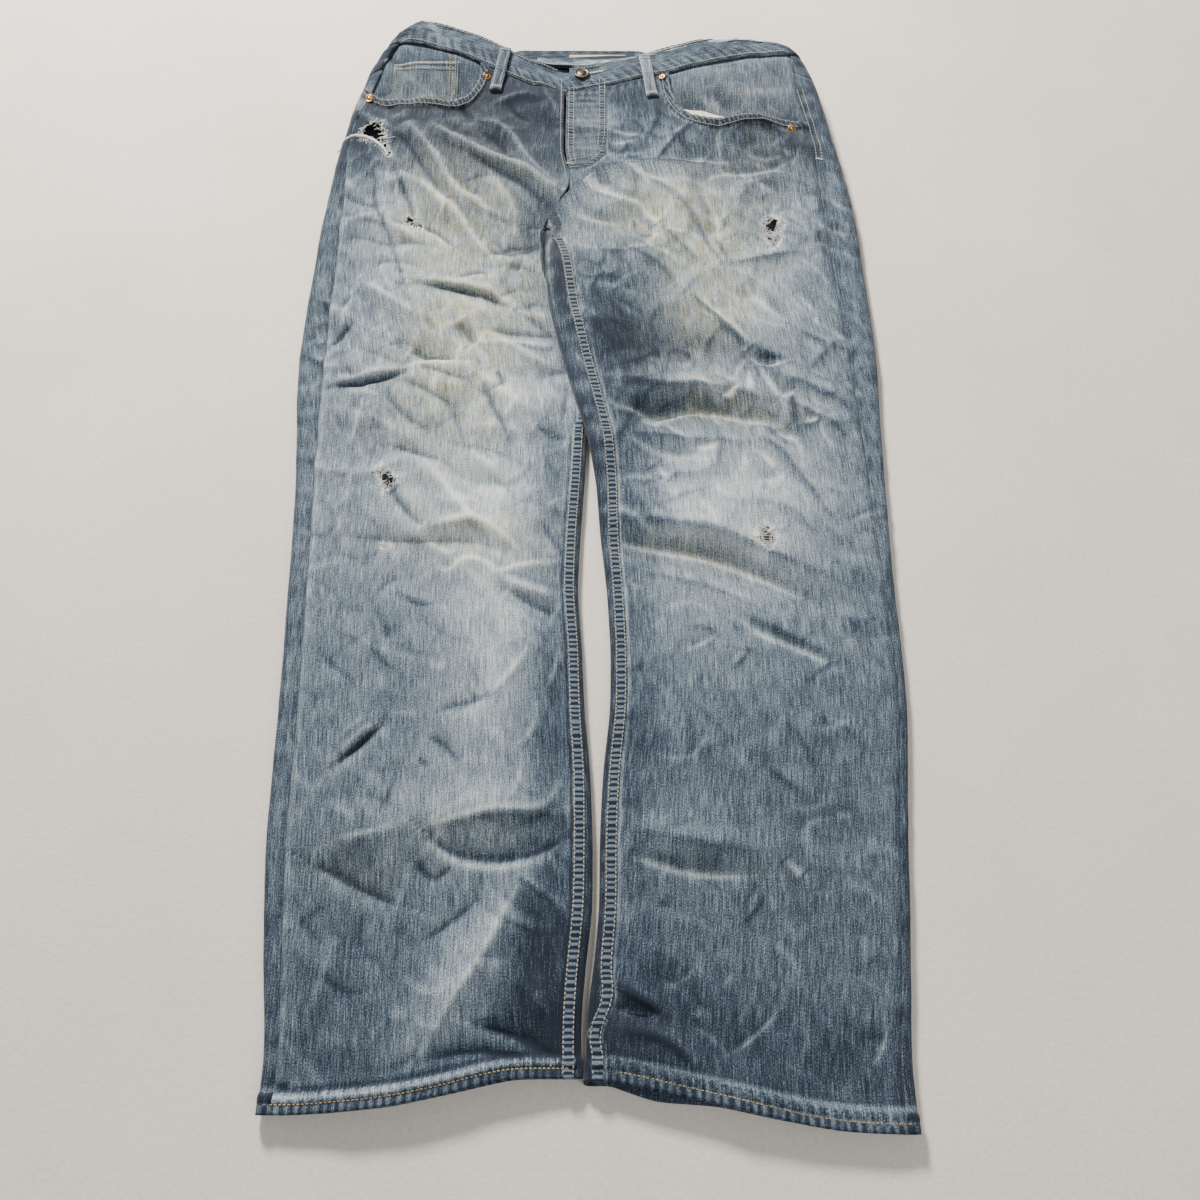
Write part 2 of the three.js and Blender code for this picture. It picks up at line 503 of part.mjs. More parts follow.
// The button: a domed head, a shank through both ends of the band, and a back plate.
const BUTTON = { x: -20, y: 1074, radius: 8.5, shank: 2, plate: 5 };
function buttonBodies() {
  const [upper, lower] = hits(band, BUTTON.x, BUTTON.y);
  const top = BAND / 2 + CLEAR;
  const back = lower.point.z - upper.point.z - BAND / 2 - 2 * CLEAR;
  const { radius, shank, plate } = BUTTON;
  const profile = [[plate, back - 1], [plate, back], [shank, back], [shank, top], [radius - 1.3, top],
    [radius, top + 0.8], [radius, top + 1.6], [radius - 1.1, top + 2.3], [radius - 2.3, top + 2],
    [3.4, top + 2.5], [1.2, top + 2.9]];
  const bore = [[shank + CLEAR, back - 3], [shank + CLEAR, top + 8]];
  const { point, normal } = upper;
  return { body: turned(profile, point, normal, 24), bore: turned(bore, point, normal, 12) };
}

// Back pockets lie between the seat and the floor.
const POCKET = { bottom: 868, point: 14, top: 1003, half: 70, apart: 118 };
function backPocket(side) {
  const middle = seat(PLAIN_TOP) + side.sign * POCKET.apart;
  const { bottom, point, top, half } = POCKET;
  const shoulder = bottom + point;
  const outline = [[-half, shoulder], [0, bottom], [half, shoulder], [half + 2, top], [-half - 2, top]];
  const shape = new THREE.Shape(outline.map(([x, y]) => new THREE.Vector2(middle + x, y)));
  return solid(new THREE.ExtrudeGeometry(shape, { depth: DENIM, bevelEnabled: false }));
}

// Belt loops are folded strips across the band: two in front, and three behind, under the band.
const LOOP = { width: 12, length: 58, thickness: 1.5 };
const FRONT_LOOPS = [
  { name: "belt_loop_front_left", panel: fronts.left, x: -104, top: 1101, lean: -10 },
  { name: "belt_loop_front_right", panel: fronts.right, x: 49, top: 1094, lean: 8 },
];
function frontLoop({ panel, x, top, lean }) {
  const grid = spaced(top - LOOP.length, top, 5).map((y) => {
    const middle = x + (lean * (top - y)) / LOOP.length;
    const across = spaced(middle - LOOP.width / 2, middle + LOOP.width / 2, 2);
    return across.map((loopX) => [...hits(band, loopX, y), ...hits(panel, loopX, y)][0].point);
  });
  return wall(grid, { lift: BAND / 2 + 2 * SEAM + LOOP.thickness / 2, thickness: LOOP.thickness });
}
const BACK_LOOPS = [
  { name: "belt_loop_back_left", x: -172 },
  { name: "belt_loop_back_middle", x: seat(PLAIN_TOP) },
  { name: "belt_loop_back_right", x: 150 },
];
const UNDER_LOOP = { length: 52, past: 16 };
function backLoop({ x }) {
  const middle = levelY(LEFT, x, WAIST, 0) - UNDER_LOOP.past + UNDER_LOOP.length / 2;
  const loop = new THREE.BoxGeometry(LOOP.width, UNDER_LOOP.length, LOOP.thickness);
  return solid(loop.translate(x, middle, LOOP.thickness / 2));
}

// The blank label is sewn inside the back of the waistband.
const LABEL = { width: 60, height: 22, thickness: 0.8, x: -5 };
function waistLabel() {
  const height = floor(LEFT, LABEL.x, WAIST + 1) + BAND / 2 + SEAM + LABEL.thickness / 2;
  const label = new THREE.BoxGeometry(LABEL.width, LABEL.height, LABEL.thickness);
  return solid(label.translate(LABEL.x, levelY(LEFT, LABEL.x, WAIST, 0) + BAND_WIDTH / 2, height));
}

// ---- The object ----
const button = buttonBodies();
for (const side of [LEFT, RIGHT]) {
  add(`front_${side.name}`, frontPanel(side));
  add(`back_${side.name}`, backPanel(side));
  add(`yoke_${side.name}`, yoke(side));
  add(`pocket_facing_${side.name}`, pocketFacing(side));
  add(`pocket_bag_${side.name}`, pocketBag(side), WHITE_LINING);
  add(`back_pocket_${side.name}`, backPocket(side));
}
add("coin_pocket", coinPocket());
add("fly_underlap", flyUnderlap());
add("waistband", wall(band, { out: -1, thickness: BAND }).subtract(button.bore));
add("button", button.body, DARK_METAL);
add("waist_label", waistLabel(), LABEL_CLOTH);
for (const loop of FRONT_LOOPS) add(loop.name, frontLoop(loop));
for (const loop of BACK_LOOPS) add(loop.name, backLoop(loop));
for (const rivet of rivets) add(rivet.name, rivet.body, COPPER);

// The origin is the middle of the bounding box, at its bottom.
const box = new THREE.Box3().setFromObject(jeans);
jeans.position.set(-(box.min.x + box.max.x) / 2, -(box.min.y + box.max.y) / 2, -box.min.z);
export default jeans;
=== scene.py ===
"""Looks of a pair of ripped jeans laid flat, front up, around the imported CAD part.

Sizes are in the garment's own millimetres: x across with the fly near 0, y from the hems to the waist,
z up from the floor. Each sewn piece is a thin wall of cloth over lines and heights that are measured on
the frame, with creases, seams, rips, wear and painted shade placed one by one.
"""
import math

import bpy
import numpy as np
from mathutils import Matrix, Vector
from mathutils.bvhtree import BVHTree


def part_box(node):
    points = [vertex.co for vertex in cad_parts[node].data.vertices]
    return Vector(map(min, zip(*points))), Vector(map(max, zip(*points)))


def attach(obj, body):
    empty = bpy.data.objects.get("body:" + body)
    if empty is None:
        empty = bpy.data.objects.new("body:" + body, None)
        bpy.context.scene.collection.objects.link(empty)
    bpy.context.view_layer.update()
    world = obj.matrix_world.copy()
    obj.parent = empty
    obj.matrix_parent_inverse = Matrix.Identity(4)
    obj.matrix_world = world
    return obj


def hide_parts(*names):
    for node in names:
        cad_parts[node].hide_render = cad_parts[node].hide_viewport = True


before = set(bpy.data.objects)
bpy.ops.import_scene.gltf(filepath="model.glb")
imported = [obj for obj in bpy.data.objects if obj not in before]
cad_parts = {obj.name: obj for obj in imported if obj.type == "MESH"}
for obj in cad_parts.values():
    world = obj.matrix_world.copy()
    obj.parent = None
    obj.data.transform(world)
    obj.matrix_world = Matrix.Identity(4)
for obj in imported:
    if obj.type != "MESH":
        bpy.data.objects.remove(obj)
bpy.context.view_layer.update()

# ---- Driving dimensions, in millimetres ----
CELL = 2.7  # grid of the fronts
UNDER_CELL = 6.0  # grid of the cloth that lies on the floor
DENIM = 1.2  # thickness of the denim
LINING = 0.8  # thickness of a pocket bag's cloth
BAND = 2.6  # the waistband is folded denim
HEM = 2.9  # the hem is turned twice
HEM_DEPTH = 14.0
LAYER = 1.5  # from one layer of cloth to the next
CROTCH = 862.0  # level where the legs join
HEM_BEND = 150.0  # below it the levels bend to the slanting hem
PLAIN_TOP = 985.0  # above it the levels bend to the waist
WAIST = 1075.0  # level of the waist seam
BAND_WIDTH = 36.0
LAP = 4.6  # the front laps this far over the back at the inseam
SEEN = 0.986  # features stand about 13 mm above the floor, nearer the camera, so they look larger
MIDDLE_LOOP = (-22.0, 1091.0)  # where the middle back belt loop lies
FINE = 0.6  # half of the denim's thickness
FRONT_COLUMNS = 90
LOWEST, LEVEL_STEP = 54, 5.0  # first of the levels at which the sides are measured, and their step
LEG_TOP = CROTCH - 4  # last level at which a leg is measured on its own
WAIST_GAP = 0.4  # the cloth ends this far below the waist seam
SETTLE = 6  # rounds in which a point's x and y settle on each other
CORNER_CUTS = 2  # rounds of cutting the corners of a drawn line


# ---- Small mathematics ----
def mix(a, b, t):
    return a + (b - a) * t


def ramp(a, b, v):
    t = np.clip((v - a) / (b - a), 0, 1)
    return t * t * (3 - 2 * t)


def bell(v, width):
    return np.exp(-((v / width) ** 2))


def kernel(sigma):
    reach = np.arange(-int(3 * sigma) - 1, int(3 * sigma) + 2)
    return np.exp(-0.5 * (reach / sigma) ** 2)


def blur(values, sigma):
    k = kernel(sigma)
    for axis in (0, 1):
        values = np.apply_along_axis(lambda row: np.convolve(row, k, "same"), axis, values)
    return values


def sample(field, x, y):
    """A field's value at x, y by Catmull-Rom splines."""
    u = np.clip((x - FIELD_X[0]) / FIELD_STEP, 1, len(FIELD_X) - 2.001)
    v = np.clip((y - FIELD_Y[0]) / FIELD_STEP, 1, len(FIELD_Y) - 2.001)
    i, j = v.astype(int), u.astype(int)

    def weights(t):
        return (-0.5 * t + t**2 - 0.5 * t**3, 1 - 2.5 * t**2 + 1.5 * t**3,
                0.5 * t + 2 * t**2 - 1.5 * t**3, -0.5 * t**2 + 0.5 * t**3)

    wx, wy = weights(u - j), weights(v - i)
    total = 0
    for a in range(4):
        for b in range(4):
            rows = np.clip(i + a - 1, 0, len(FIELD_Y) - 1)
            cols = np.clip(j + b - 1, 0, len(FIELD_X) - 1)
            total = total + wy[a] * wx[b] * field[rows, cols]
    return total


def along(points, pitch):
    """The points of a polyline, one each pitch."""
    points = np.asarray(points, float)
    length = np.r_[0, np.cumsum(np.hypot(*np.diff(points, axis=0).T))]
    at = np.linspace(0, length[-1], max(2, int(length[-1] / pitch) + 1))
    return np.stack([np.interp(at, length, points[:, 0]), np.interp(at, length, points[:, 1])], 1), at


def rounded(points):
    """A polyline with its corners cut, so that it reads as a curve."""
    points = np.asarray(points, float)
    for _ in range(CORNER_CUTS):
        inside = np.empty((2 * len(points) - 2, 2))
        inside[0::2] = mix(points[:-1], points[1:], 0.25)
        inside[1::2] = mix(points[:-1], points[1:], 0.75)
        points = np.vstack([points[:1], inside, points[-1:]])
    return points


# ---- Measuring the frame ----
low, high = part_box("belt_loop_back_middle")
ORIGIN = np.array([(low.x + high.x) * 500 - MIDDLE_LOOP[0], (low.y + high.y) * 500 - MIDDLE_LOOP[1], 0])


def node_mesh(name):
    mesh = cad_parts[name].data
    mesh.calc_loop_triangles()
    points = np.empty(len(mesh.vertices) * 3, np.float32)
    mesh.vertices.foreach_get("co", points)
    triangles = np.empty(len(mesh.loop_triangles) * 3, np.int32)
    mesh.loop_triangles.foreach_get("vertices", triangles)
    return points.reshape(-1, 3) * 1000.0 - ORIGIN, triangles.reshape(-1, 3)


def section(names, axis, value):
    """Where the nodes' edges cross a plane."""
    found = []
    for name in names:
        points, triangles = MESHES[name]
        for k in range(3):
            a, b = points[triangles[:, k]], points[triangles[:, (k + 1) % 3]]
            cut = (a[:, axis] < value) != (b[:, axis] < value)
            t = (value - a[cut, axis]) / (b[cut, axis] - a[cut, axis])
            found.append(a[cut] + t[:, None] * (b[cut] - a[cut]))
    return np.concatenate(found)


def measured(names, axis, values, pick, sigma):
    """A smooth line: pick() of the sections at each value."""
    at, got = [], []
    for value in values:
        points = section(names, axis, value)
        if len(points) > 3:
            at.append(value)
            got.append(pick(points))
    at, got = np.array(at)[np.isfinite(got)], np.array(got)[np.isfinite(got)]
    k = kernel(sigma)
    reach = len(k) // 2
    ends = np.r_[2 * got[0] - got[1:reach + 1][::-1], got, 2 * got[-1] - got[-reach - 1:-1][::-1]]
    smooth = np.convolve(ends, k / k.sum(), "valid")
    return lambda v: np.interp(v, at, smooth)


class Side:
    """One leg with its half of the hips: where its folds and seams run, and how high its cloth lies."""

    def __init__(self, name, sign):
        self.name, self.sign = name, sign
        front, back, yoke = f"front_{name}", f"back_{name}", f"yoke_{name}"
        facing = f"pocket_facing_{name}"
        around = [back, yoke, "waistband"]

        def far(points):
            return sign * (sign * points[:, 0]).max()

        def near(points):
            return sign * (sign * points[:, 0]).min()

        def fold_radius(points):
            return points[(sign * points[:, 0]).argmax(), 2] - points[:, 2].min()

        def hem(points, way):
            points = points[points[:, 1] < HEM_BEND]
            if not len(points):
                return np.nan
            middle = (points[:, 2].min() + points[:, 2].max()) / 2
            return points[way * points[:, 2] >= way * middle, 1].min()

        levels = np.arange(LOWEST, 1140, LEVEL_STEP)
        legs = np.arange(LOWEST, LEG_TOP, LEVEL_STEP)
        outside = measured(around, 1, levels, far, 2)
        self.outer = lambda y: outside(y) - sign * FINE
        inside = measured([back], 1, legs, near, 2)
        self.inner = lambda y: inside(y) + sign * FINE
        self.round = measured(around, 1, levels, fold_radius, 3)
        seam_out = measured([front, facing], 1, np.arange(LOWEST, 1062, LEVEL_STEP), far, 2)
        self.outseam = lambda y: sign * np.minimum(sign * seam_out(y), sign * self.outer(y) - 2.0)
        seam = measured([front], 1, legs, near, 2)
        self.hidden = lambda y: ramp(610, 650, y) if sign < 0 else 0 * y
        crumpled = sign > 0
        self.inseam = lambda y: (mix(seam(y), self.inner(y) + sign * 1.0, self.hidden(y))
                                 + crumpled * (5.0 * bell(y - 106, 13) - 3.5 * bell(y - 80, 9)))
        self.rise = measured([front], 1, np.arange(CROTCH + 3, 1048, 4.0), near, 1.5)
        across = np.arange(8, 225, 8.0) * sign
        across = across[np.argsort(across)]
        self.hem_front = measured([front, back], 0, across, lambda points: hem(points, 1), 1)
        self.hem_back = measured([front, back], 0, across, lambda points: hem(points, -1), 1)
        self.front, self.back = [front, "waistband"], around

    def inner_round(self, y):
        return mix(4.6, 3.2, ramp(600, CROTCH, y))

    def fold_start(self, y):
        """Where the cloth starts to turn down into the outer fold."""
        return self.outer(y) - self.sign * self.round(y)

    def open_leg(self, y):
        """1 where the inseam shows, and 0 above the crotch or where the other leg hides it."""
        return (1 - ramp(CROTCH - 22, CROTCH - 6, y)) * (1 - self.hidden(y))

    def measure_heights(self):
        """Smooth heights of the cloth's middle, over the floor side and over the top."""
        x, y = np.meshgrid(FIELD_X, FIELD_Y)
        down = cast(self.front + self.back, x, y, 200, -1)
        up = cast(self.back, x, y, -50, 1)
        inset = self.sign * (self.outer(y) - x)
        leg = y < CROTCH
        inner = np.where(leg, self.sign * (x - self.inner(y)) - 1.2 * self.inner_round(y), 10)
        inside = (inset > 1.1 * self.round(y)) & (inner > 0)
        known = inside & ~np.isnan(down) & ~np.isnan(up) & (down - up > 5)
        step = fold_step(self, x, y)
        self.top = filled(down - step - FINE, known)
        self.bottom = filled(up + 2.3 * FINE, inside & ~np.isnan(up) & (up < 15 + 20 * ramp(500, 620, y)))


def cast(names, x, y, start, way):
    """The height where an upright ray from `start` first meets the nodes, or nan."""
    points, triangles, count = [], [], 0
    for name in names:
        p, t = MESHES[name]
        points.append(p)
        triangles.append(t + count)
        count += len(p)
    tree = BVHTree.FromPolygons(np.concatenate(points).tolist(), np.concatenate(triangles).tolist())
    heights = np.full(x.shape, np.nan)
    for index in np.ndindex(x.shape):
        hit = tree.ray_cast(Vector((x[index], y[index], start)), Vector((0, 0, way)))[0]
        if hit is not None:
            heights[index] = hit.z
    return heights


FILL_REACH = (2.2, 6, 16)  # how far known heights are carried, in steps of the field
UNKNOWN_HEIGHT = 8.0


def filled(heights, known):
    """Heights smoothed over what is known and carried on past it."""
    kept = np.where(known, heights, 0.0)
    layers = []
    for sigma in FILL_REACH:
        weight = blur(known.astype(float), sigma)
        value = blur(kept, sigma) / np.maximum(weight, 1e-9)
        trust = np.clip(weight / (0.25 * kernel(sigma).sum() ** 2), 0, 1)
        layers.append((value, trust))
    fine, middle, wide = layers
    values = np.where(wide[1] > 1e-6, wide[0], UNKNOWN_HEIGHT)
    values = mix(values, *middle)
    return mix(values, *fine)


FIELD_STEP = 6.0
FIELD_X = np.arange(-312, 301, FIELD_STEP)
FIELD_Y = np.arange(0, 1165, FIELD_STEP)
MESHES = {name: node_mesh(name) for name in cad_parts}

# ---- The fold of the right thigh over the foot of the fly ----
FOLD_LINE = np.array([(-75, 842), (-52, 872), (-20, 910), (5, 930), (60, 938), (150, 945)])
FOLD_RISE = 13.5


def fold_distance(x, y):
    return y - np.interp(x, FOLD_LINE[:, 0], FOLD_LINE[:, 1])


def fold_step(side, x, y, soft=7.0):
    if side.sign < 0:
        return 0 * x
    inside = RIGHT_INNER(y)
    return (FOLD_RISE * (1 - ramp(-soft, soft, fold_distance(x, y))) * (1 - ramp(20, 150, x))
            * ramp(690, 850, y) * ramp(inside, inside + 14, x))


RIGHT_INNER = measured(["back_right"], 1, np.arange(LOWEST, LEG_TOP, LEVEL_STEP), lambda p: p[:, 0].min(), 2)
LEFT, RIGHT = Side("left", -1), Side("right", 1)
SIDES = (LEFT, RIGHT)
for side in SIDES:
    side.measure_heights()


def seat(y):
    return np.interp(y, [CROTCH, 875, 890, 905, 925, 950], [-58, -54, -46, -38, -30, -24])


def band_edge(upper):
    def pick(points):
        middle = (points[:, 2].min() + points[:, 2].max()) / 2
        part = points[points[:, 2] > middle] if upper else points[points[:, 2] < middle]
        return part[:, 1].min()
    return measured(["waistband"], 0, np.arange(-232, 222, 7.0), pick, 1.2)


waist_front, waist_back = band_edge(True), band_edge(False)


def level_y(side, x, s, top):
    """y of level s at x: top is 1 on the front and 0 on the back."""
    hem = mix(side.hem_back(x), side.hem_front(x), top)
    waist = mix(waist_back(x), waist_front(x), top)
    low_part = mix(hem, HEM_BEND, s / HEM_BEND)
    high_part = mix(PLAIN_TOP, waist, (s - PLAIN_TOP) / (WAIST - PLAIN_TOP))
    past = waist + (s - WAIST) * 0.97
    return np.select([s < HEM_BEND, s < PLAIN_TOP, s <= WAIST], [low_part, s + 0 * x, high_part], past)


# ---- Creases, as points on the floor's scale: height, width to the left and to the right of the way ----
LEFT_CREASES = [
    ([(-250, 1050), (-232, 1034), (-217, 1018)], -1.6, 5, 9),
    ([(-214, 1014), (-190, 980), (-173, 955), (-158, 924), (-127, 900), (-98, 886)], 3.2, 7, 16),
    ([(-222, 1000), (-196, 962), (-178, 930), (-160, 905)], -1.8, 7, 9),
    ([(-190, 1012), (-165, 992), (-140, 975)], 1.6, 5, 9),
    ([(-160, 1040), (-143, 1022), (-146, 1008)], -2.2, 9, 8),
    ([(-166, 992), (-125, 966), (-83, 948), (-53, 928), (-38, 922)], 3.6, 7, 17),
    ([(-145, 968), (-105, 942), (-75, 925), (-55, 905)], -2.6, 6, 16),
    ([(-144, 1018), (-110, 1010), (-92, 992), (-78, 959), (-48, 932)], 2.6, 6, 12),
    ([(-130, 1000), (-108, 985), (-98, 962)], -1.8, 6, 8),
    ([(-102, 1050), (-94, 1029), (-74, 1018)], -1.5, 4, 6),
    ([(-70, 1078), (-54, 1050), (-45, 1018)], 1.6, 4, 7),
    ([(-120, 1040), (-85, 1060), (-62, 1052)], 1.3, 4, 7),
    ([(-248, 958), (-236, 930), (-240, 905), (-219, 863), (-207, 822), (-194, 782)], -1.7, 4, 9),
    ([(-217, 943), (-198, 896), (-196, 879)], -1.6, 4, 6),
    ([(-196, 877), (-182, 871), (-167, 863), (-150, 844)], -2.6, 7, 4),
    ([(-173, 873), (-161, 900), (-154, 894), (-129, 852), (-112, 832)], 2.2, 5, 8),
    ([(-116, 836), (-92, 846), (-66, 848)], -2.4, 5, 8),
    ([(-95, 828), (-80, 822)], -1.8, 7, 7),
    ([(-187, 798), (-150, 793), (-122, 786), (-86, 766)], -3.0, 3, 11),
    ([(-187, 804), (-150, 799), (-122, 792), (-86, 772)], 1.4, 8, 3),
    ([(-147, 805), (-120, 815), (-113, 803)], -1.4, 4, 4),
    ([(-245, 803), (-253, 765), (-262, 730)], 1.7, 10, 8),
    ([(-245, 803), (-215, 780), (-184, 758)], 2.0, 10, 8),
    ([(-245, 790), (-225, 750), (-215, 730)], -1.2, 14, 14),
    ([(-268, 722), (-248, 745)], -2.2, 5, 5),
    ([(-285, 745), (-276, 725)], -2.0, 7, 7),
    ([(-190, 714), (-168, 707), (-140, 702)], -4.2, 11, 6),
    ([(-195, 688), (-171, 699), (-131, 695)], 2.0, 4, 10),
    ([(-143, 752), (-130, 732), (-120, 724)], -3.6, 11, 11),
    ([(-118, 742), (-85, 737), (-44, 735)], -2.8, 7, 10),
    ([(-122, 724), (-85, 723), (-44, 722)], 1.5, 7, 10),
    ([(-262, 672), (-243, 674), (-215, 679), (-190, 686)], -3.2, 3, 6),
    ([(-262, 678), (-243, 680), (-215, 686), (-190, 693)], 1.3, 7, 3),
    ([(-116, 678), (-94, 631), (-82, 598)], -1.9, 7, 7),
    ([(-101, 692), (-93, 674), (-106, 667)], -1.6, 4, 4),
    ([(-31, 680), (-37, 632)], -1.6, 5, 5),
    ([(-64, 628), (-46, 618), (-30, 612)], -2.4, 10, 10),
    ([(-198, 602), (-170, 592), (-148, 585)], -1.7, 4, 7),
    ([(-150, 660), (-130, 610), (-122, 590)], -1.0, 8, 8),
    ([(-196, 556), (-178, 532), (-160, 515)], -2.8, 6, 7),
    ([(-160, 515), (-136, 522), (-106, 520), (-68, 486)], 2.6, 9, 6),
    ([(-232, 505), (-170, 500), (-120, 502), (-86, 488)], -2.6, 10, 12),
    ([(-151, 481), (-136, 464), (-121, 483), (-101, 476), (-90, 466), (-70, 475), (-31, 479)], 1.7, 5, 9),
    ([(-83, 452), (-60, 438), (-38, 427)], -2.8, 8, 9),
    ([(-88, 462), (-62, 452), (-38, 445)], 1.4, 8, 5),
    ([(-221, 289), (-207, 300), (-183, 324)], -2.4, 4, 4),
    ([(-217, 298), (-190, 326)], 1.2, 6, 3),
    ([(-145, 315), (-127, 305), (-116, 288)], -1.3, 5, 6),
    ([(-137, 336), (-99, 350)], -1.4, 6, 6),
    ([(-142, 236), (-110, 246), (-76, 253), (-27, 250)], 2.4, 12, 6),
    ([(-136, 228), (-117, 214), (-84, 209), (-50, 216), (-27, 230)], -3.4, 14, 4),
    ([(-133, 220), (-115, 206), (-84, 202), (-50, 208)], 1.4, 4, 9),
    ([(-233, 210), (-203, 196), (-180, 184), (-155, 175)], -3.0, 13, 5),
    ([(-216, 226), (-185, 232), (-157, 238)], 1.6, 10, 7),
    ([(-148, 210), (-132, 193), (-116, 205)], -1.6, 5, 5),
    ([(-56, 204), (-74, 172), (-86, 145), (-112, 105), (-132, 68)], 3.2, 13, 20),
    ([(-96, 178), (-118, 160), (-140, 146)], -1.6, 7, 7),
    ([(-92, 87), (-61, 79), (-28, 62)], -3.4, 8, 4),
    ([(-135, 62), (-88, 70), (-50, 62)], -2.4, 7, 5),
    ([(-203, 155), (-212, 120), (-219, 90)], 1.4, 10, 10),
    ([(-244, 46), (-226, 43)], -1.8, 4, 4),
    ([(-60, 400), (-75, 372), (-96, 350)], 1.3, 9, 9),
    ([(-240, 600), (-228, 640), (-232, 660)], 1.3, 7, 7),
    ([(-262, 560), (-235, 520), (-228, 470)], 1.0, 12, 12),
    ([(-235, 420), (-190, 390), (-150, 380)], 1.2, 14, 14),
]
RIGHT_CREASES = [
    ([(-22, 936), (3, 944), (58, 952), (122, 956)], 1.6, 5, 12),
    ([(122, 957), (133, 941), (172, 943), (207, 960)], -1.8, 6, 7),
    ([(131, 1016), (127, 985), (130, 960)], -1.6, 6, 8),
    ([(145, 992), (158, 1010), (178, 1010), (205, 992)], 1.6, 7, 9),
    ([(150, 975), (175, 962), (200, 968)], -1.6, 10, 10),
    ([(58, 956), (81, 987), (103, 1012)], 2.0, 6, 9),
    ([(88, 958), (113, 964)], -1.8, 6, 6),
    ([(12, 1004), (46, 997)], -1.5, 5, 6),
    ([(10, 989), (40, 988)], -1.3, 5, 6),
    ([(60, 1060), (66, 1020), (50, 990)], 1.2, 6, 6),
    ([(44, 934), (81, 906), (101, 867), (115, 831), (125, 815)], 2.8, 9, 12),
    ([(62, 872), (81, 837), (104, 812)], 1.8, 7, 9),
    ([(112, 912), (124, 880), (122, 842)], -2.6, 9, 9),
    ([(125, 815), (150, 820), (184, 831), (210, 838)], 1.9, 9, 7),
    ([(132, 815), (122, 845), (117, 862)], 1.4, 5, 5),
    ([(28, 835), (52, 812), (78, 787)], 1.6, 10, 8),
    ([(-12, 928), (4, 921), (14, 917)], -2.0, 6, 6),
    ([(40, 900), (62, 872)], -1.6, 8, 8),
    ([(177, 876), (178, 858), (181, 846)], -1.8, 5, 5),
    ([(145, 794), (170, 760), (190, 742)], -1.3, 6, 8),
    ([(198, 787), (218, 758)], -1.2, 6, 6),
    ([(86, 776), (118, 742), (145, 708)], 3.0, 7, 12),
    ([(100, 772), (128, 744), (152, 712)], -1.6, 5, 5),
    ([(142, 710), (154, 696), (178, 694)], -4.0, 5, 4),
    ([(148, 716), (160, 703), (180, 701)], 1.4, 6, 3),
    ([(154, 692), (166, 670), (174, 653)], -2.2, 4, 5),
    ([(174, 655), (188, 665)], -2.2, 5, 5),
    ([(145, 688), (143, 660)], -1.5, 3, 4),
    ([(135, 667), (117, 652)], -1.4, 4, 4),
    ([(186, 664), (183, 640), (186, 620)], 1.9, 5, 5),
    ([(186, 621), (200, 622), (213, 632), (192, 645)], 1.6, 5, 5),
    ([(196, 634), (208, 630)], -1.9, 5, 5),
    ([(165, 617), (185, 610)], -2.6, 4, 4),
    ([(147, 612), (171, 591), (200, 544)], 1.8, 6, 7),
    ([(8, 650), (50, 630), (90, 642), (130, 632), (168, 622)], -5.2, 11, 12),
    ([(10, 672), (60, 662), (110, 666), (160, 650)], 3.2, 14, 12),
    ([(20, 612), (80, 606), (140, 600)], 1.6, 6, 12),
    ([(36, 630), (60, 624)], -1.8, 5, 5),
    ([(88, 597), (114, 599)], -1.7, 4, 5),
    ([(52, 580), (66, 562)], -1.6, 5, 6),
    ([(8, 500), (72, 489), (119, 477), (186, 436)], -5.0, 12, 15),
    ([(8, 526), (72, 516), (119, 504), (186, 470)], 3.4, 16, 12),
    ([(30, 470), (90, 455), (140, 432)], 1.4, 6, 14),
    ([(117, 424), (154, 402), (200, 378)], -1.9, 4, 8),
    ([(120, 431), (154, 410), (200, 386)], 0.9, 8, 4),
    ([(20, 216), (72, 199), (122, 197)], -3.4, 16, 9),
    ([(20, 236), (70, 226), (125, 216)], 1.7, 12, 12),
    ([(148, 212), (161, 198)], -1.6, 5, 5),
    ([(8, 118), (36, 102), (48, 93)], 2.8, 5, 5),
    ([(12, 97), (30, 96), (45, 94)], -3.2, 4, 4),
    ([(12, 84), (46, 79), (70, 58)], 2.6, 5, 6),
    ([(147, 113), (123, 84), (95, 65)], -2.0, 6, 6),
    ([(152, 118), (130, 92), (104, 72)], 1.1, 8, 5),
    ([(77, 102), (71, 90)], -1.2, 4, 4),
    ([(200, 55), (215, 75), (214, 100)], -1.2, 5, 5),
    ([(150, 330), (175, 300), (180, 260)], 1.0, 12, 12),
    ([(60, 360), (80, 320), (70, 280)], 1.0, 12, 12),
    ([(190, 560), (215, 520)], 1.1, 8, 8),
    ([(215, 880), (232, 850), (228, 800)], 1.2, 8, 8),
    ([(230, 720), (205, 690)], 1.2, 8, 8),
]
CREASE_TIP = 1.3  # radius of a crease's edge
CREASE_SCALE = 2.5
MOST_CREASES = 170  # of the small ones that nobody placed


def small_creases(count, lows, highs, seed):
    """Short random creases that fill the cloth between the placed ones."""
    draw = np.random.default_rng(seed)
    found = []
    for _ in range(count):
        x, y = draw.uniform(lows, highs)
        turn = draw.choice([-0.7, 0.5, -0.3, 1.2, -1.1]) + draw.normal(0, 0.25)
        half = draw.uniform(7, 26)
        step = np.array([math.cos(turn), math.sin(turn)]) * half
        bow = np.array([-step[1], step[0]]) * draw.normal(0, 0.25)
        start, middle, end = np.array([x, y]) - step, np.array([x, y]) + bow, np.array([x, y]) + step
        height = draw.choice([-1, 1]) * draw.uniform(0.2, 0.75)
        found.append(([start, middle, end], height, draw.uniform(3, 7), draw.uniform(3, 7)))
    return found


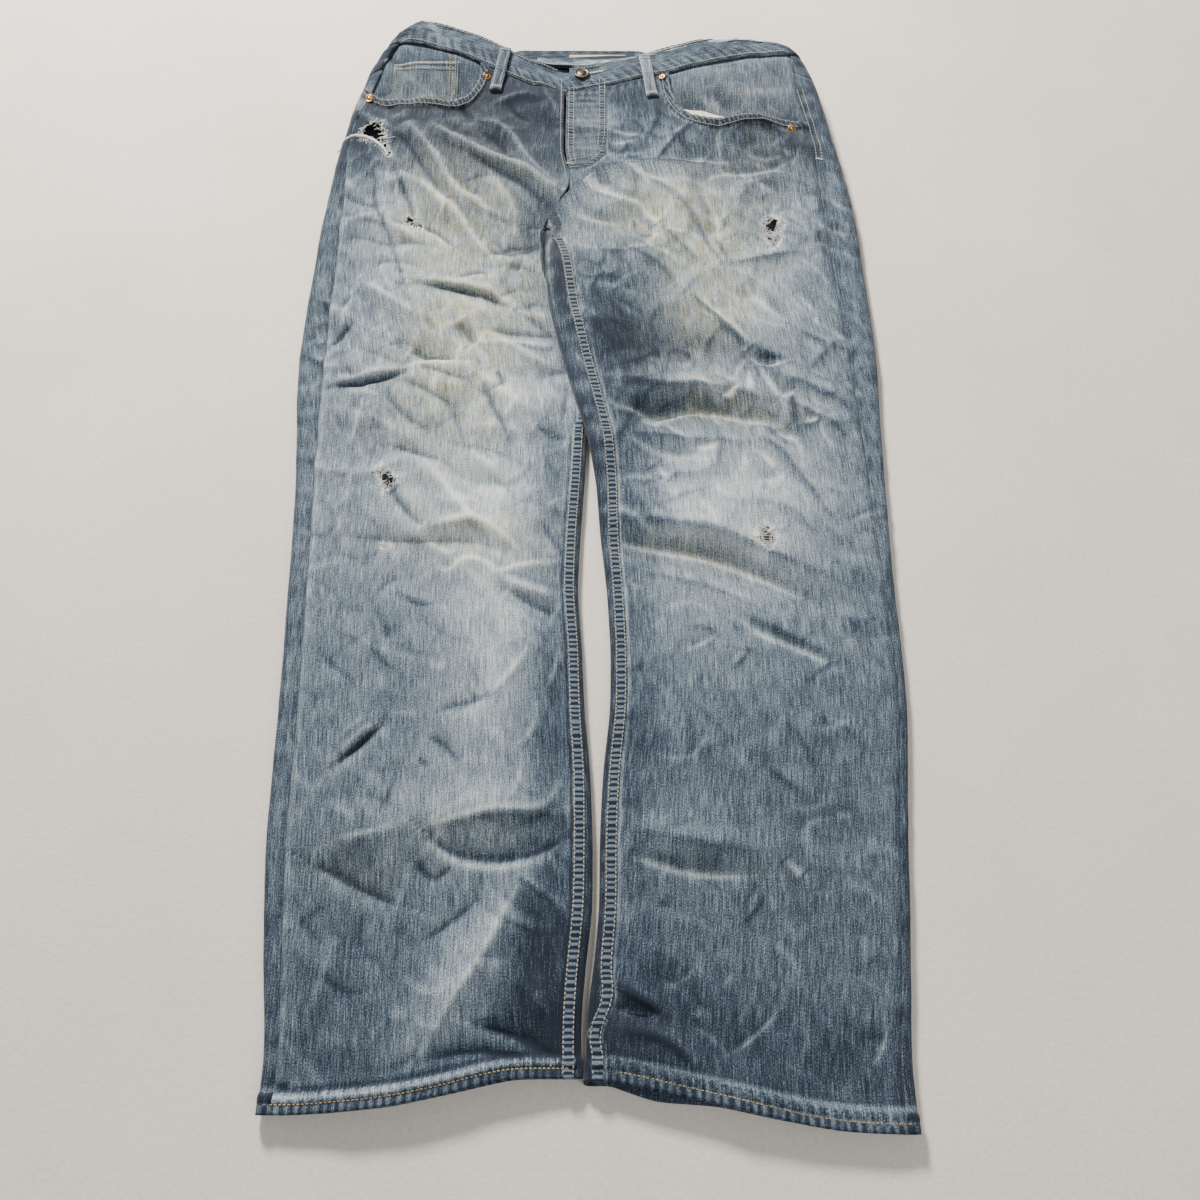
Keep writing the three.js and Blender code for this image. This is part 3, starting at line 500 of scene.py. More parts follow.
def crease_height(creases, x, y):
    """The height that the creases add, each a sharp edge with a slope on each side."""
    shape = np.broadcast(x, y).shape
    x, y = np.broadcast_to(x, shape).ravel(), np.broadcast_to(y, shape).ravel()
    total = np.zeros(x.size)
    for points, height, left, right in creases:
        points = rounded(np.asarray(points) * SEEN)
        reach = 3.5 * max(left, right)
        near = ((x > points[:, 0].min() - reach) & (x < points[:, 0].max() + reach)
                & (y > points[:, 1].min() - reach) & (y < points[:, 1].max() + reach))
        if not near.any():
            continue
        px, py = x[near], y[near]
        length = np.r_[0, np.cumsum(np.hypot(*np.diff(points, axis=0).T))]
        best = np.full(px.shape, 1e9)
        signed, at = np.zeros(px.shape), np.zeros(px.shape)
        for k, (a, b) in enumerate(zip(points[:-1], points[1:])):
            way = b - a
            t = np.clip(((px - a[0]) * way[0] + (py - a[1]) * way[1]) / (way @ way), 0, 1)
            dx, dy = px - a[0] - t * way[0], py - a[1] - t * way[1]
            away = np.hypot(dx, dy)
            closer = away < best
            best = np.where(closer, away, best)
            signed = np.where(closer, np.sign(way[0] * dy - way[1] * dx), signed)
            at = np.where(closer, length[k] + t * (length[k + 1] - length[k]), at)
        width = np.where(signed > 0, left, right)
        edge = np.exp(-(np.hypot(best, CREASE_TIP) - CREASE_TIP) / width)
        fade = np.sin(np.pi * np.clip(at / length[-1], 0.04, 0.96)) ** 0.7
        total[near] += height * edge * fade
    return CREASE_SCALE * total.reshape(shape)


CREASES = {
    -1: LEFT_CREASES + small_creases(MOST_CREASES, (-285, 60), (-30, 1060), 3),
    1: RIGHT_CREASES + small_creases(MOST_CREASES, (-10, 60), (260, 1060), 4),
}
UNDER_CREASES = {
    -1: small_creases(110, (-280, 60), (-30, 1000), 5),
    1: small_creases(110, (-10, 60), (260, 1000), 6),
}
UNDER_SCALE = 1.5


def waves(x, y, seed, size=(45, 110)):
    """Slow unevenness of the cloth, from -1 to 1."""
    draw = np.random.default_rng(seed)
    total = 0 * x * y
    for _ in range(9):
        turn, length, phase = draw.uniform(0, math.pi), draw.uniform(*size), draw.uniform(0, 6.28)
        total = total + np.sin((x * math.cos(turn) + y * math.sin(turn)) * 2 * math.pi / length + phase)
    return total / 4.5


CRUMPLES = ((110, 5.6, 31), (60, -3.2, 41), (30, 0.9, 51))  # size, height and seed of each scale
CRUMPLE_TURN = {-1: -38.0, 1: -50.0}


def crumple(side, x, y):
    """Sharp-edged unevenness, strong on the thighs and knees and weak on the shins."""
    turn = math.radians(CRUMPLE_TURN[side.sign])
    along_it = (x * math.cos(turn) + y * math.sin(turn)) / 1.35
    over_it = y * math.cos(turn) - x * math.sin(turn)
    total = 0
    for size, height, seed in CRUMPLES:
        wave = waves(along_it, over_it, seed + side.sign, (0.7 * size, 1.3 * size))
        there = ramp(-0.35, 0.45, waves(x, y, seed + 5 * side.sign, (110, 240)))
        total = total + height * there * (np.maximum(1 - np.sqrt(wave**2 + 0.004), 0) ** 1.5 - 0.5)
    strong = ramp(430, 560, y) * (1 - 0.4 * ramp(960, 1040, y))
    return total * (0.34 + 0.66 * strong)


# ---- Seams ----
GROOVE = 0.9  # how deep a seam or a row of stitches pulls the cloth in
FELL_RISE = 1.3  # a felled seam's layers above the cloth
HEM_STITCH = 6.8  # the hem's stitches above its edge
LADDER = 4.7  # pitch of the puckers along a felled seam
FLY_WIDTH = 45.0  # from the fly's edge to the J stitching
FLY_FOOT = 938.0
FLY_CURVE = 24.0  # height of the curve at the foot of its J stitching


def fly_edge(y):
    return (LEFT.rise(y) + RIGHT.rise(y)) / 2


def fly_width(y, least=0.0):
    """From the fly's edge to its J stitching, which curves in at the foot."""
    return FLY_WIDTH * np.sqrt(np.clip((y - FLY_FOOT) / FLY_CURVE, least, 1.0))


def fly_raise(x, y):
    """The fly is a double layer as far as its J stitching."""
    across = x - fly_edge(y)
    width = fly_width(y)
    return ramp(0, 2, y - FLY_FOOT) * (1 - ramp(width - 1.5, width + 1.0, across))


def bars(distance, pitch, seed):
    """Uneven puckers along a seam, from -1 to 1."""
    wander = 0.9 * np.sin(distance / 17.0 + seed) + 0.6 * np.sin(distance / 7.3 + 2 * seed)
    return np.sin(2 * math.pi * distance / pitch + wander)


MOUTHS = {
    -1: [(-272, 1066), (-260, 1055), (-249, 1040), (-238, 1031), (-213, 1026), (-171, 1024), (-148, 1031),
         (-137, 1046), (-132, 1062), (-131, 1090)],
    1: [(75, 1085), (77, 1050), (83, 1028), (93, 1010), (108, 999), (129, 996), (155, 1001), (182, 1003),
        (214, 1000)],
}
# The rips' outlines, on the floor's scale like the creases.
RIPS = {
    -1: [
        [(-260, 996), (-256, 1003), (-249, 1010), (-243, 1007), (-236, 1009), (-237, 998), (-229, 990),
         (-231, 978), (-223, 963), (-227, 962), (-233, 972), (-239, 981), (-253, 987), (-261, 990)],
        [(-203, 884), (-198, 885), (-194, 878), (-186, 875), (-186, 869), (-197, 870), (-204, 875)],
        [(-208, 574), (-199, 573), (-188, 563), (-193, 557), (-199, 551), (-202, 559), (-206, 566)],
        [(-197, 499), (-192, 498), (-191, 494), (-195, 492), (-198, 495)],
    ],
    1: [
        [(173, 880), (182, 886), (192, 880), (190, 869), (184, 861), (175, 863), (170, 872)],
        [(173, 858), (181, 861), (189, 857), (184, 847), (179, 838), (174, 850)],
        [(143, 509), (149, 516), (155, 510), (160, 503), (157, 496), (152, 487), (146, 492), (139, 498),
         (145, 503)],
    ],
}


def signed_distance(polygon, x, y):
    """Distance from a closed outline, negative inside it."""
    polygon = np.asarray(polygon, float)
    away = np.full(np.shape(x), 1e9)
    inside = np.zeros(np.shape(x), bool)
    for a, b in zip(polygon, np.roll(polygon, -1, axis=0)):
        way = b - a
        t = np.clip(((x - a[0]) * way[0] + (y - a[1]) * way[1]) / max(way @ way, 1e-9), 0, 1)
        away = np.minimum(away, np.hypot(x - a[0] - t * way[0], y - a[1] - t * way[1]))
        crosses = (a[1] > y) != (b[1] > y)
        level = b[1] - a[1] if abs(b[1] - a[1]) > 1e-9 else 1e-9
        inside ^= crosses & (x < a[0] + (y - a[1]) * way[0] / level)
    return np.where(inside, -away, away)


def mouth_region(side):
    """The closed outline of all that the pocket's mouth cuts off the front."""
    curve = rounded(MOUTHS[side.sign])
    if side.sign < 0:
        return np.vstack([curve, [(curve[-1][0], 1180), (-330, 1180), (-330, curve[0][1])]])
    return np.vstack([curve, [(330, curve[-1][1]), (330, 1180), (curve[0][0], 1180)]])


def ragged(polygon, seed):
    """A rip's outline with a finer, uneven edge."""
    draw = np.random.default_rng(seed)
    points, _ = along(np.vstack([polygon, polygon[:1]]) * SEEN, 2.2)
    return points[:-1] + draw.normal(0, 0.55, points[:-1].shape)


RAGGED = {sign: [ragged(np.array(p, float), 20 + k) for k, p in enumerate(RIPS[sign])] for sign in (-1, 1)}
LIP = 9.0  # width of the turned edge of a pocket's mouth
GAPE = [(124, 1001, 30, 6.0), (160, 1003, 26, 4.0)]  # where the right mouth stands open


def gape(side, x, y):
    """How far a pocket's mouth stands open."""
    if side.sign < 0:
        return 2.0 * bell(x + 190, 34) * bell(y - 1026, 16)
    return sum(h * bell(x - gx, r) * bell(y - gy, 0.55 * r) for gx, gy, r, h in GAPE)


# ---- Surfaces ----
def rounded_edges(side, x, y, z, floor):
    """Lets the top turn down into the folds at both sides of a leg."""
    half = (z - floor) / 2
    inset = side.sign * (side.outer(y) - x)
    k = np.clip(inset / side.round(y), 0, 1)
    inset = side.sign * (x - side.inner(y))
    inner = np.where(y < CROTCH, np.clip(inset / side.inner_round(y), 0, 1), 1)
    return floor + half * (1 + np.sqrt(1 - (1 - k) ** 2) * np.sqrt(1 - (1 - inner) ** 2))


def bottom_z(side, x, y):
    """The height of the cloth that lies on the floor."""
    under = np.abs(crease_height(UNDER_CREASES[side.sign], x, y)) * UNDER_SCALE
    slow = 0.8 * (1 + waves(x, y, 7 + side.sign))
    above = y - side.hem_back(x)
    return sample(side.bottom, x, y) + (under + slow) * ramp(0, 25, above) + 0.9 * (1 - ramp(12, 20, above))


def plain_top(side, x, y):
    """The top without its seams."""
    z = sample(side.top, x, y) + 0.7 * waves(x, y, 2 + side.sign)
    inner_inset = np.where(y < CROTCH, side.sign * (x - side.inner(y)), 99)
    inset = np.minimum(side.sign * (side.outer(y) - x), inner_inset)
    calm = 0.45 + 0.55 * ramp(4, 22, inset)
    z = z + (crease_height(CREASES[side.sign], x, y) + crumple(side, x, y)) * calm
    z = z + fold_step(side, x, y, 4.0) + gape(side, x, y)
    floor = sample(side.bottom, x, y)
    z = np.maximum(z, floor + 3.2)
    return rounded_edges(side, x, y, z, floor)


def seam_shape(side, x, y, front=True):
    """What the seams add to the top."""
    inseam = side.sign * (x - side.inseam(y))
    outseam = side.sign * (x - side.outseam(y))
    leg = side.open_leg(y)
    z = -GROOVE * bell(outseam, 1.6)
    pucker = 0.55 * bars(y, 26.0, 1.3) * bell(outseam - 8, 9) * (outseam > 0)
    z = z + pucker * ramp(60, 120, y)
    if front:
        fell = (1 - ramp(LAP - 0.8, LAP + 0.8, np.abs(inseam))) * leg
        z = z + fell * (FELL_RISE + 0.35 * bars(y, 2 * LADDER, side.sign))
        z = z - 0.7 * bell(np.abs(inseam) - LAP - 1.2, 1.2) * leg
    if side.sign > 0:
        z = z + 1.3 * fly_raise(x, y) * (1 + 0.25 * bars(y, 9.0, 2.0))
    waist = y - waist_front(x)
    z = z - GROOVE * bell(waist, 3) + 0.5 * bars(x, 9.0, 0.7) * bell(waist + 6, 6)
    if front:
        lip = signed_distance(mouth_region(side), x, y)
        edge = ramp(-2, 0, lip) * (1 - ramp(LIP - 1, LIP + 1, lip))
        z = z + edge * (0.9 + 0.4 * bars(x + 0.6 * y, 4.6, 0.2)) - 0.5 * bell(lip - LIP - 1.5, 1.5)
    hem = y - side.hem_front(x)
    turned = 1 - ramp(HEM_DEPTH - 1.5, HEM_DEPTH + 1.0, hem)
    z = z + 0.6 * turned + 0.5 * bars(x + 0.5 * y, 8.5, 0.5) * turned * ramp(0, 4, hem)
    z = z + 1.6 * bell(hem - HEM_DEPTH + 3, 2.6) - GROOVE * bell(hem - HEM_STITCH, 1.4)
    return z - GROOVE * bell(hem - HEM_DEPTH - 3, 2.4)


def top_point(side, x, y, front=True):
    """The point of the top cloth over x, y, with the lip of the thigh's fold pushed over the fly's foot."""
    x, y = np.broadcast_arrays(np.asarray(x, float), np.asarray(y, float))
    z = plain_top(side, x, y) + seam_shape(side, x, y, front)
    if side.sign < 0:
        return np.stack([x, y, z], -1)
    away = fold_distance(x, y)
    over = bell(away + 6, 7) * ramp(-66, -50, x) * (1 - ramp(30, 130, x)) * ramp(845, 870, y)
    return np.stack([x - 5.0 * over, y + 8.0 * over, z], -1)


# ---- Colour of the cloth: where it is faded, dirty, or darker from unfaded indigo and painted shade, on the floor's scale ----
FADED = [
    (-150, 820, 62, 95, 20, 0.34), (-128, 700, 62, 55, 0, 0.3), (-150, 960, 80, 50, -35, 0.16),
    (-125, 560, 62, 55, 0, 0.42), (-92, 480, 50, 60, 0, 0.3), (-92, 385, 34, 75, 0, 0.34),
    (-105, 300, 50, 60, 0, 0.12), (-100, 135, 17, 75, -32, 0.42), (-100, 262, 75, 14, 5, 0.26),
    (-60, 660, 40, 20, 0, 0.3), (-40, 1000, 22, 50, 0, 0.1),
    (75, 885, 62, 60, 15, 0.3), (125, 770, 62, 60, 30, 0.36), (125, 668, 55, 22, 0, 0.3),
    (120, 560, 70, 45, 0, 0.42), (120, 500, 48, 22, -10, 0.26), (100, 445, 60, 24, -15, 0.2),
    (90, 400, 60, 50, 0, 0.1), (80, 232, 60, 12, -5, 0.2), (-10, 1020, 16, 40, 0, 0.2),
    (50, 905, 60, 18, 5, 0.18), (20, 1010, 16, 40, 0, 0.12),
]
DIRTY = [
    (-150, 870, 70, 80, 25, 0.7), (-138, 730, 55, 45, 0, 0.8), (-150, 640, 60, 50, 0, 0.55),
    (-150, 980, 85, 50, -35, 0.45), (-130, 500, 65, 22, 0, 0.55), (-190, 1050, 60, 30, 0, 0.35),
    (-60, 800, 30, 40, 0, 0.4), (-110, 232, 60, 20, 5, 0.35), (-195, 200, 40, 20, -15, 0.3),
    (70, 890, 70, 45, 10, 0.7), (110, 840, 55, 45, 20, 0.65), (95, 735, 60, 40, 25, 0.75),
    (125, 640, 60, 20, 0, 0.75), (175, 970, 42, 36, 0, 0.5), (90, 485, 70, 14, -15, 0.5),
    (90, 205, 60, 14, -5, 0.3), (-15, 1010, 20, 40, 0, 0.35), (150, 1050, 60, 35, 0, 0.4),
]
# Darker spots: unfaded indigo along the seams and hems, and painted shade, such as the painted shadow beside
# the right thigh's fold over the fly's foot.
DARK_AND_SHADE = [
    (-45, 120, 26, 85, 0, 0.5), (-66, 874, 22, 30, 0, 0.5), (-48, 905, 20, 16, 30, 0.4),
    (-40, 340, 18, 160, 0, 0.34), (-45, 560, 16, 60, 0, 0.3),
    (-80, 1050, 45, 42, -20, 0.26), (-105, 55, 80, 14, 8, 0.35), (-205, 120, 45, 90, 0, 0.16),
    (-268, 860, 18, 130, 0, 0.2), (-250, 1000, 22, 40, 0, 0.2),
    (28, 90, 52, 42, 0, 0.5), (30, 340, 18, 160, 0, 0.3), (25, 560, 22, 60, 0, 0.36),
    (24, 730, 34, 95, 0, 0.7), (95, 712, 66, 22, -5, 0.42), (125, 650, 60, 10, 0, 0.2),
    (-15, 760, 24, 80, 15, 0.3), (165, 60, 80, 30, 0, 0.3),
    (212, 1005, 20, 36, 0, 0.3), (40, 1045, 38, 26, 0, 0.26), (-15, 965, 26, 14, 0, 0.3),
    (150, 220, 70, 80, 0, 0.12), (235, 650, 18, 250, 0, 0.12), (120, 300, 100, 70, 0, 0.08),
]


def patches(spots, x, y):
    """Sum of soft ovals: x, y, two radii, turn in degrees and amount."""
    total = np.zeros(np.shape(x))
    for px, py, rx, ry, turn, amount in spots:
        dx, dy = x / SEEN - px, y / SEEN - py
        c, s = math.cos(math.radians(turn)), math.sin(math.radians(turn))
        u, v = (dx * c + dy * s) / rx, (dy * c - dx * s) / ry
        total = total + amount * np.exp(-0.7 * (u * u + v * v))
    return total


# ---- Walls ----
def normals(points):
    """Unit normals of a grid of points."""
    rows = np.gradient(points, axis=0)
    cols = np.gradient(points, axis=1)
    n = np.cross(cols, rows)
    return n / np.maximum(np.linalg.norm(n, axis=-1, keepdims=True), 1e-9)


def ridges(points, normal):
    """Where a grid stands out as a ridge (above 0.5) or sinks as a trough (below it)."""
    total = np.zeros(points.shape[:2])
    for k, weight in ((1, 0.5), (2, 0.3), (4, 0.2)):
        padded = np.pad(points, ((k, k), (k, k), (0, 0)), "edge")
        around = (padded[2 * k:, k:-k] + padded[:-2 * k, k:-k]
                  + padded[k:-k, 2 * k:] + padded[k:-k, :-2 * k]) / 4
        total += weight * ((points - around) * normal).sum(-1) / k**1.3
    return np.clip(0.5 + 1.3 * total, 0, 1)


def link(obj, material):
    obj.data.materials.append(material)
    obj.data.polygons.foreach_set("use_smooth", [True] * len(obj.data.polygons))
    bpy.context.scene.collection.objects.link(obj)
    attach(obj, "root")


def mesh_object(name, points, faces, attributes=None):
    """A mesh from arrays, in metres at the row's place. faces: (n, 3) or (n, 4)."""
    mesh = bpy.data.meshes.new(name)
    groups = [f for f in (faces if isinstance(faces, list) else [faces]) if len(f)]
    corners = np.concatenate([f.ravel() for f in groups])
    sizes = np.concatenate([np.full(len(f), f.shape[1]) for f in groups])
    mesh.vertices.add(len(points))
    mesh.vertices.foreach_set("co", ((points + ORIGIN) / 1000).astype(np.float32).ravel())
    mesh.loops.add(len(corners))
    mesh.loops.foreach_set("vertex_index", corners.astype(np.int32))
    mesh.polygons.add(len(sizes))
    starts = np.r_[0, np.cumsum(sizes)[:-1]]
    mesh.polygons.foreach_set("loop_start", starts.astype(np.int32))
    for key, values in (attributes or {}).items():
        kind = "FLOAT_COLOR" if values.shape[1] == 4 else "FLOAT_VECTOR"
        data = mesh.attributes.new(key, kind, "POINT").data
        data.foreach_set("color" if values.shape[1] == 4 else "vector", values.astype(np.float32).ravel())
    mesh.update(calc_edges=True)
    mesh.validate()
    return bpy.data.objects.new(name, mesh)


def wall_mesh(name, grid, thickness, keep, attributes, flip):
    """A closed wall of cloth about a grid of middle points."""
    rows, cols = grid.shape[:2]
    n = normals(grid) * (-1 if flip else 1)
    thick = np.broadcast_to(np.asarray(thickness, float), (rows, cols))[..., None]
    outside = (grid + n * thick / 2).reshape(-1, 3)
    inside = (grid - n * thick / 2).reshape(-1, 3)
    index = np.arange(rows * cols).reshape(rows, cols)
    cells = np.stack([index[:-1, :-1], index[:-1, 1:], index[1:, 1:], index[1:, :-1]], -1)
    keep = np.ones((rows - 1, cols - 1), bool) if keep is None else keep
    cells = cells[keep]
    if flip:
        cells = cells[:, ::-1]
    edges = np.concatenate([cells[:, [k, (k + 1) % 4]] for k in range(4)])
    size = rows * cols
    forward, backward = edges[:, 0] * size + edges[:, 1], edges[:, 1] * size + edges[:, 0]
    rim = edges[~np.isin(forward, backward)]
    sides = np.stack([rim[:, 1], rim[:, 0], rim[:, 0] + size, rim[:, 1] + size], -1)
    faces = np.concatenate([cells, cells[:, ::-1] + size, sides])
    points = np.concatenate([outside, inside])
    used, where = np.unique(faces, return_inverse=True)
    values = {}
    for key, value in attributes.items():
        doubled = np.concatenate([value.reshape(size, -1)] * 2)
        if key == "wear_and_shade":
            doubled[size:, 0] *= 0.5
        values[key] = doubled[used]
    return mesh_object(name, points[used], where.reshape(faces.shape), values)


def wear_and_shade_of(x, y, normal_grid, points, extra_fade_and_light=0.0, extra_dark=0.0, dirt=1.0):
    """Red: faded, and lifted as painted light on the backs' upward parts; green: dirt; blue: dark indigo and
    painted shade; alpha: ridge, lighter as rubbed wear on ridges and darker as painted shade in troughs.
    """
    base = 0.42 - 0.1 * (1 - ramp(330, 560, y)) - 0.05 * (1 - ramp(60, 260, y))
    base = base - HIP_DARK[int(x.mean() > 0)] * ramp(890, 980, y)
    fade = base + 0.7 * patches(FADED, x, y) + extra_fade_and_light
    # Unfaded indigo and painted shade.
    dark = patches(DARK_AND_SHADE, x, y) + extra_dark
    ridge = ridges(points, normal_grid)
    return np.stack([fade, np.clip(1.35 * patches(DIRTY, x, y) * dirt, 0, 1), dark, ridge], -1)


# ---- Materials ----
class Shading:
    """Builds a node material: sockets in, sockets out."""

    def __init__(self, name, roughness, metallic=0.0, sheen=0.0):
        self.material = bpy.data.materials.new(name)
        self.material.use_nodes = True
        self.tree = self.material.node_tree
        self.surface = self.tree.nodes["Principled BSDF"]
        self.surface.inputs["Roughness"].default_value = roughness
        self.surface.inputs["Metallic"].default_value = metallic
        self.surface.inputs["Sheen Weight"].default_value = sheen
        self.surface.inputs["Specular IOR Level"].default_value = 0.5 if metallic else 0.2

    def node(self, kind, **values):
        made = self.tree.nodes.new(kind)
        for key, value in values.items():
            setattr(made, key, value)
        return made

    def feed(self, socket, value):
        if isinstance(value, bpy.types.NodeSocket):
            self.tree.links.new(value, socket)
        else:
            socket.default_value = value

    def sum(self, kind, a, b=0.0, c=0.0):
        made = self.node("ShaderNodeMath", operation=kind)
        for socket, value in zip(made.inputs, (a, b, c)):
            self.feed(socket, value)
        return made.outputs[0]

    def attribute(self, name):
        return self.node("ShaderNodeAttribute", attribute_name=name)

    def scaled(self, vector, scale):
        made = self.node("ShaderNodeVectorMath", operation="MULTIPLY")
        self.feed(made.inputs[0], vector)
        made.inputs[1].default_value = scale
        return made.outputs[0]

    def noise(self, vector, scale, detail=2.0, roughness=0.55):
        made = self.node("ShaderNodeTexNoise")
        self.feed(made.inputs["Vector"], self.scaled(vector, scale))
        made.inputs["Scale"].default_value = 1.0
        made.inputs["Detail"].default_value = detail
        made.inputs["Roughness"].default_value = roughness
        return made.outputs["Fac"]

    def smooth(self, value, low, high):
        made = self.node("ShaderNodeMapRange", interpolation_type="SMOOTHSTEP")
        self.feed(made.inputs["Value"], value)
        made.inputs["From Min"].default_value = low
        made.inputs["From Max"].default_value = high
        return made.outputs["Result"]

    def ramp(self, value, stops):
        made = self.node("ShaderNodeValToRGB")
        elements = made.color_ramp.elements
        while len(elements) < len(stops):
            elements.new(0.5)
        for element, (place, colour) in zip(elements, stops):
            element.position = place
            element.color = (*linear(colour), 1)
        self.feed(made.inputs["Fac"], value)
        return made.outputs["Color"]

    def blend(self, factor, a, b, kind="MIX"):
        made = self.node("ShaderNodeMix", data_type="RGBA", blend_type=kind)
        self.feed(made.inputs["Factor"], factor)
        for socket, value in ((made.inputs["A"], a), (made.inputs["B"], b)):
            self.feed(socket, value if isinstance(value, bpy.types.NodeSocket) else (*linear(value), 1))
        return made.outputs["Result"]

    def finish(self, colour, height=None, strength=0.4, distance=0.0004):
        self.feed(self.surface.inputs["Base Color"], colour)
        if height is not None:
            bump = self.node("ShaderNodeBump")
            bump.inputs["Strength"].default_value = strength
            bump.inputs["Distance"].default_value = distance
            self.feed(bump.inputs["Height"], height)
            self.feed(self.surface.inputs["Normal"], bump.outputs["Normal"])
        return self.material


def linear(colour):
    """A colour in 0..255 steps of sRGB as linear light."""
    return tuple((c / 255 / 12.92) if c < 11 else ((c / 255 + 0.055) / 1.055) ** 2.4 for c in colour)


HIP_DARK = (0.38, 0.22)  # how much less the left and right hip are faded
DENIM_TONES = [(0.0, (22, 30, 42)), (0.2, (55, 67, 80)), (0.42, (97, 109, 119)), (0.62, (136, 147, 153)),
               (0.82, (178, 185, 184)), (1.0, (218, 220, 212))]


def denim_material():
    """Yarns and grain over the wear and painted shade, with puckers along the seams, stains and a twill bump.
    """
    m = Shading("worn_denim", 0.92, sheen=0.12)
    cloth = m.attribute("cloth").outputs["Vector"]
    wear_and_shade = m.attribute("wear_and_shade")
    channels = m.node("ShaderNodeSeparateColor")
    m.feed(channels.inputs[0], wear_and_shade.outputs["Color"])
    fade, dirt, dark = channels.outputs
    seam = m.node("ShaderNodeSeparateXYZ")
    m.feed(seam.inputs[0], m.attribute("seam").outputs["Vector"])
    distance, across, strength = seam.outputs
    slubs = m.noise(cloth, (0.62, 0.018, 1.0), 2.0)
    threads = m.noise(cloth, (1.3, 0.06, 1.0), 2.0, 0.7)
    grain = m.noise(cloth, (1.2, 0.8, 1.0), 3.0, 0.8)
    mottle = m.noise(cloth, (0.045, 0.035, 1.0), 3.0)
    value = fade
    for texture, amount in ((slubs, 0.42), (threads, 1.1), (grain, 1.9), (mottle, 0.3)):
        value = m.sum("ADD", value, m.sum("MULTIPLY", m.sum("SUBTRACT", texture, 0.5), amount))
    # Ridges lighter as rubbed wear, troughs darker as painted shade.
    value = m.sum("ADD", value, m.sum("MULTIPLY", m.sum("SUBTRACT", wear_and_shade.outputs["Alpha"], 0.5), 0.55))
    # The dark channel: unfaded indigo and painted shade.
    value = m.sum("SUBTRACT", value, m.sum("MULTIPLY", dark, 0.5))
    phase = m.sum("ADD", m.sum("MULTIPLY", distance, 2 * math.pi / LADDER),
                  m.sum("MULTIPLY", m.noise(m.attribute("seam").outputs["Vector"], (0.09, 0, 0)), 9.0))
    bar = m.smooth(m.sum("SINE", phase), -0.9, 0.8)
    mask = m.sum("MULTIPLY", strength, m.sum("SUBTRACT", 1.0, m.smooth(across, 0.78, 1.05)))
    speckle = m.sum("MULTIPLY", m.sum("SUBTRACT", grain, 0.5), 0.9)
    laddered = m.sum("ADD", m.sum("MULTIPLY", bar, 0.5), speckle)
    laddered = m.sum("ADD", laddered, -0.08)
    shift = m.sum("SUBTRACT", laddered, value)
    value = m.sum("MULTIPLY_ADD", shift, mask, value)
    colour = m.ramp(value, DENIM_TONES)
    stain = m.sum("MULTIPLY", dirt, m.smooth(m.noise(cloth, (0.11, 0.06, 1.0), 4.0), 0.2, 0.75))
    colour = m.blend(m.sum("MULTIPLY", stain, 0.9), colour, m.blend(1.0, colour, (224, 206, 160), "MULTIPLY"))
    weave = m.node("ShaderNodeTexWave", bands_direction="DIAGONAL")
    m.feed(weave.inputs["Vector"], cloth)
    weave.inputs["Scale"].default_value = 0.35
    height = m.sum("ADD", m.sum("MULTIPLY", weave.outputs["Fac"], 0.25),
                   m.sum("ADD", grain, m.sum("MULTIPLY", threads, 0.8)))
    return m.finish(colour, height, 0.55, 0.0005)


def cloth_material(name, low, high, roughness=0.9):
    m = Shading(name, roughness, sheen=0.1)
    place = m.node("ShaderNodeTexCoord").outputs["Object"]
    weave = m.noise(place, (1100, 1100, 1100), 2.0)
    patch = m.noise(place, (60, 60, 60), 3.0)
    both = m.sum("ADD", m.sum("MULTIPLY", weave, 0.5), m.sum("MULTIPLY", patch, 0.5))
    return m.finish(m.ramp(both, [(0.3, low), (0.7, high)]), weave, 0.4, 0.0003)


def metal_material(name, low, high, roughness):
    m = Shading(name, roughness, metallic=1.0)
    place = m.node("ShaderNodeTexCoord").outputs["Object"]
    worn = m.noise(place, (420, 420, 420), 4.0, 0.7)
    return m.finish(m.ramp(worn, [(0.35, low), (0.65, high)]), worn, 0.25, 0.0002)


DENIM_CLOTH = denim_material()
LINING_CLOTH = cloth_material("pocket_lining", (176, 164, 142), (226, 219, 203))
LABEL_CLOTH = cloth_material("label_cloth", (150, 141, 104), (196, 187, 150), 0.8)
IVORY = cloth_material("ivory_thread", (120, 120, 112), (190, 186, 170))
TAN = cloth_material("tan_thread", (134, 112, 66), (196, 168, 112))
FRAY = cloth_material("frayed_threads", (158, 160, 158), (232, 229, 220))
COPPER = metal_material("aged_copper", (92, 62, 38), (196, 146, 96), 0.38)
GUNMETAL = metal_material("gunmetal", (38, 34, 32), (98, 88, 80), 0.42)


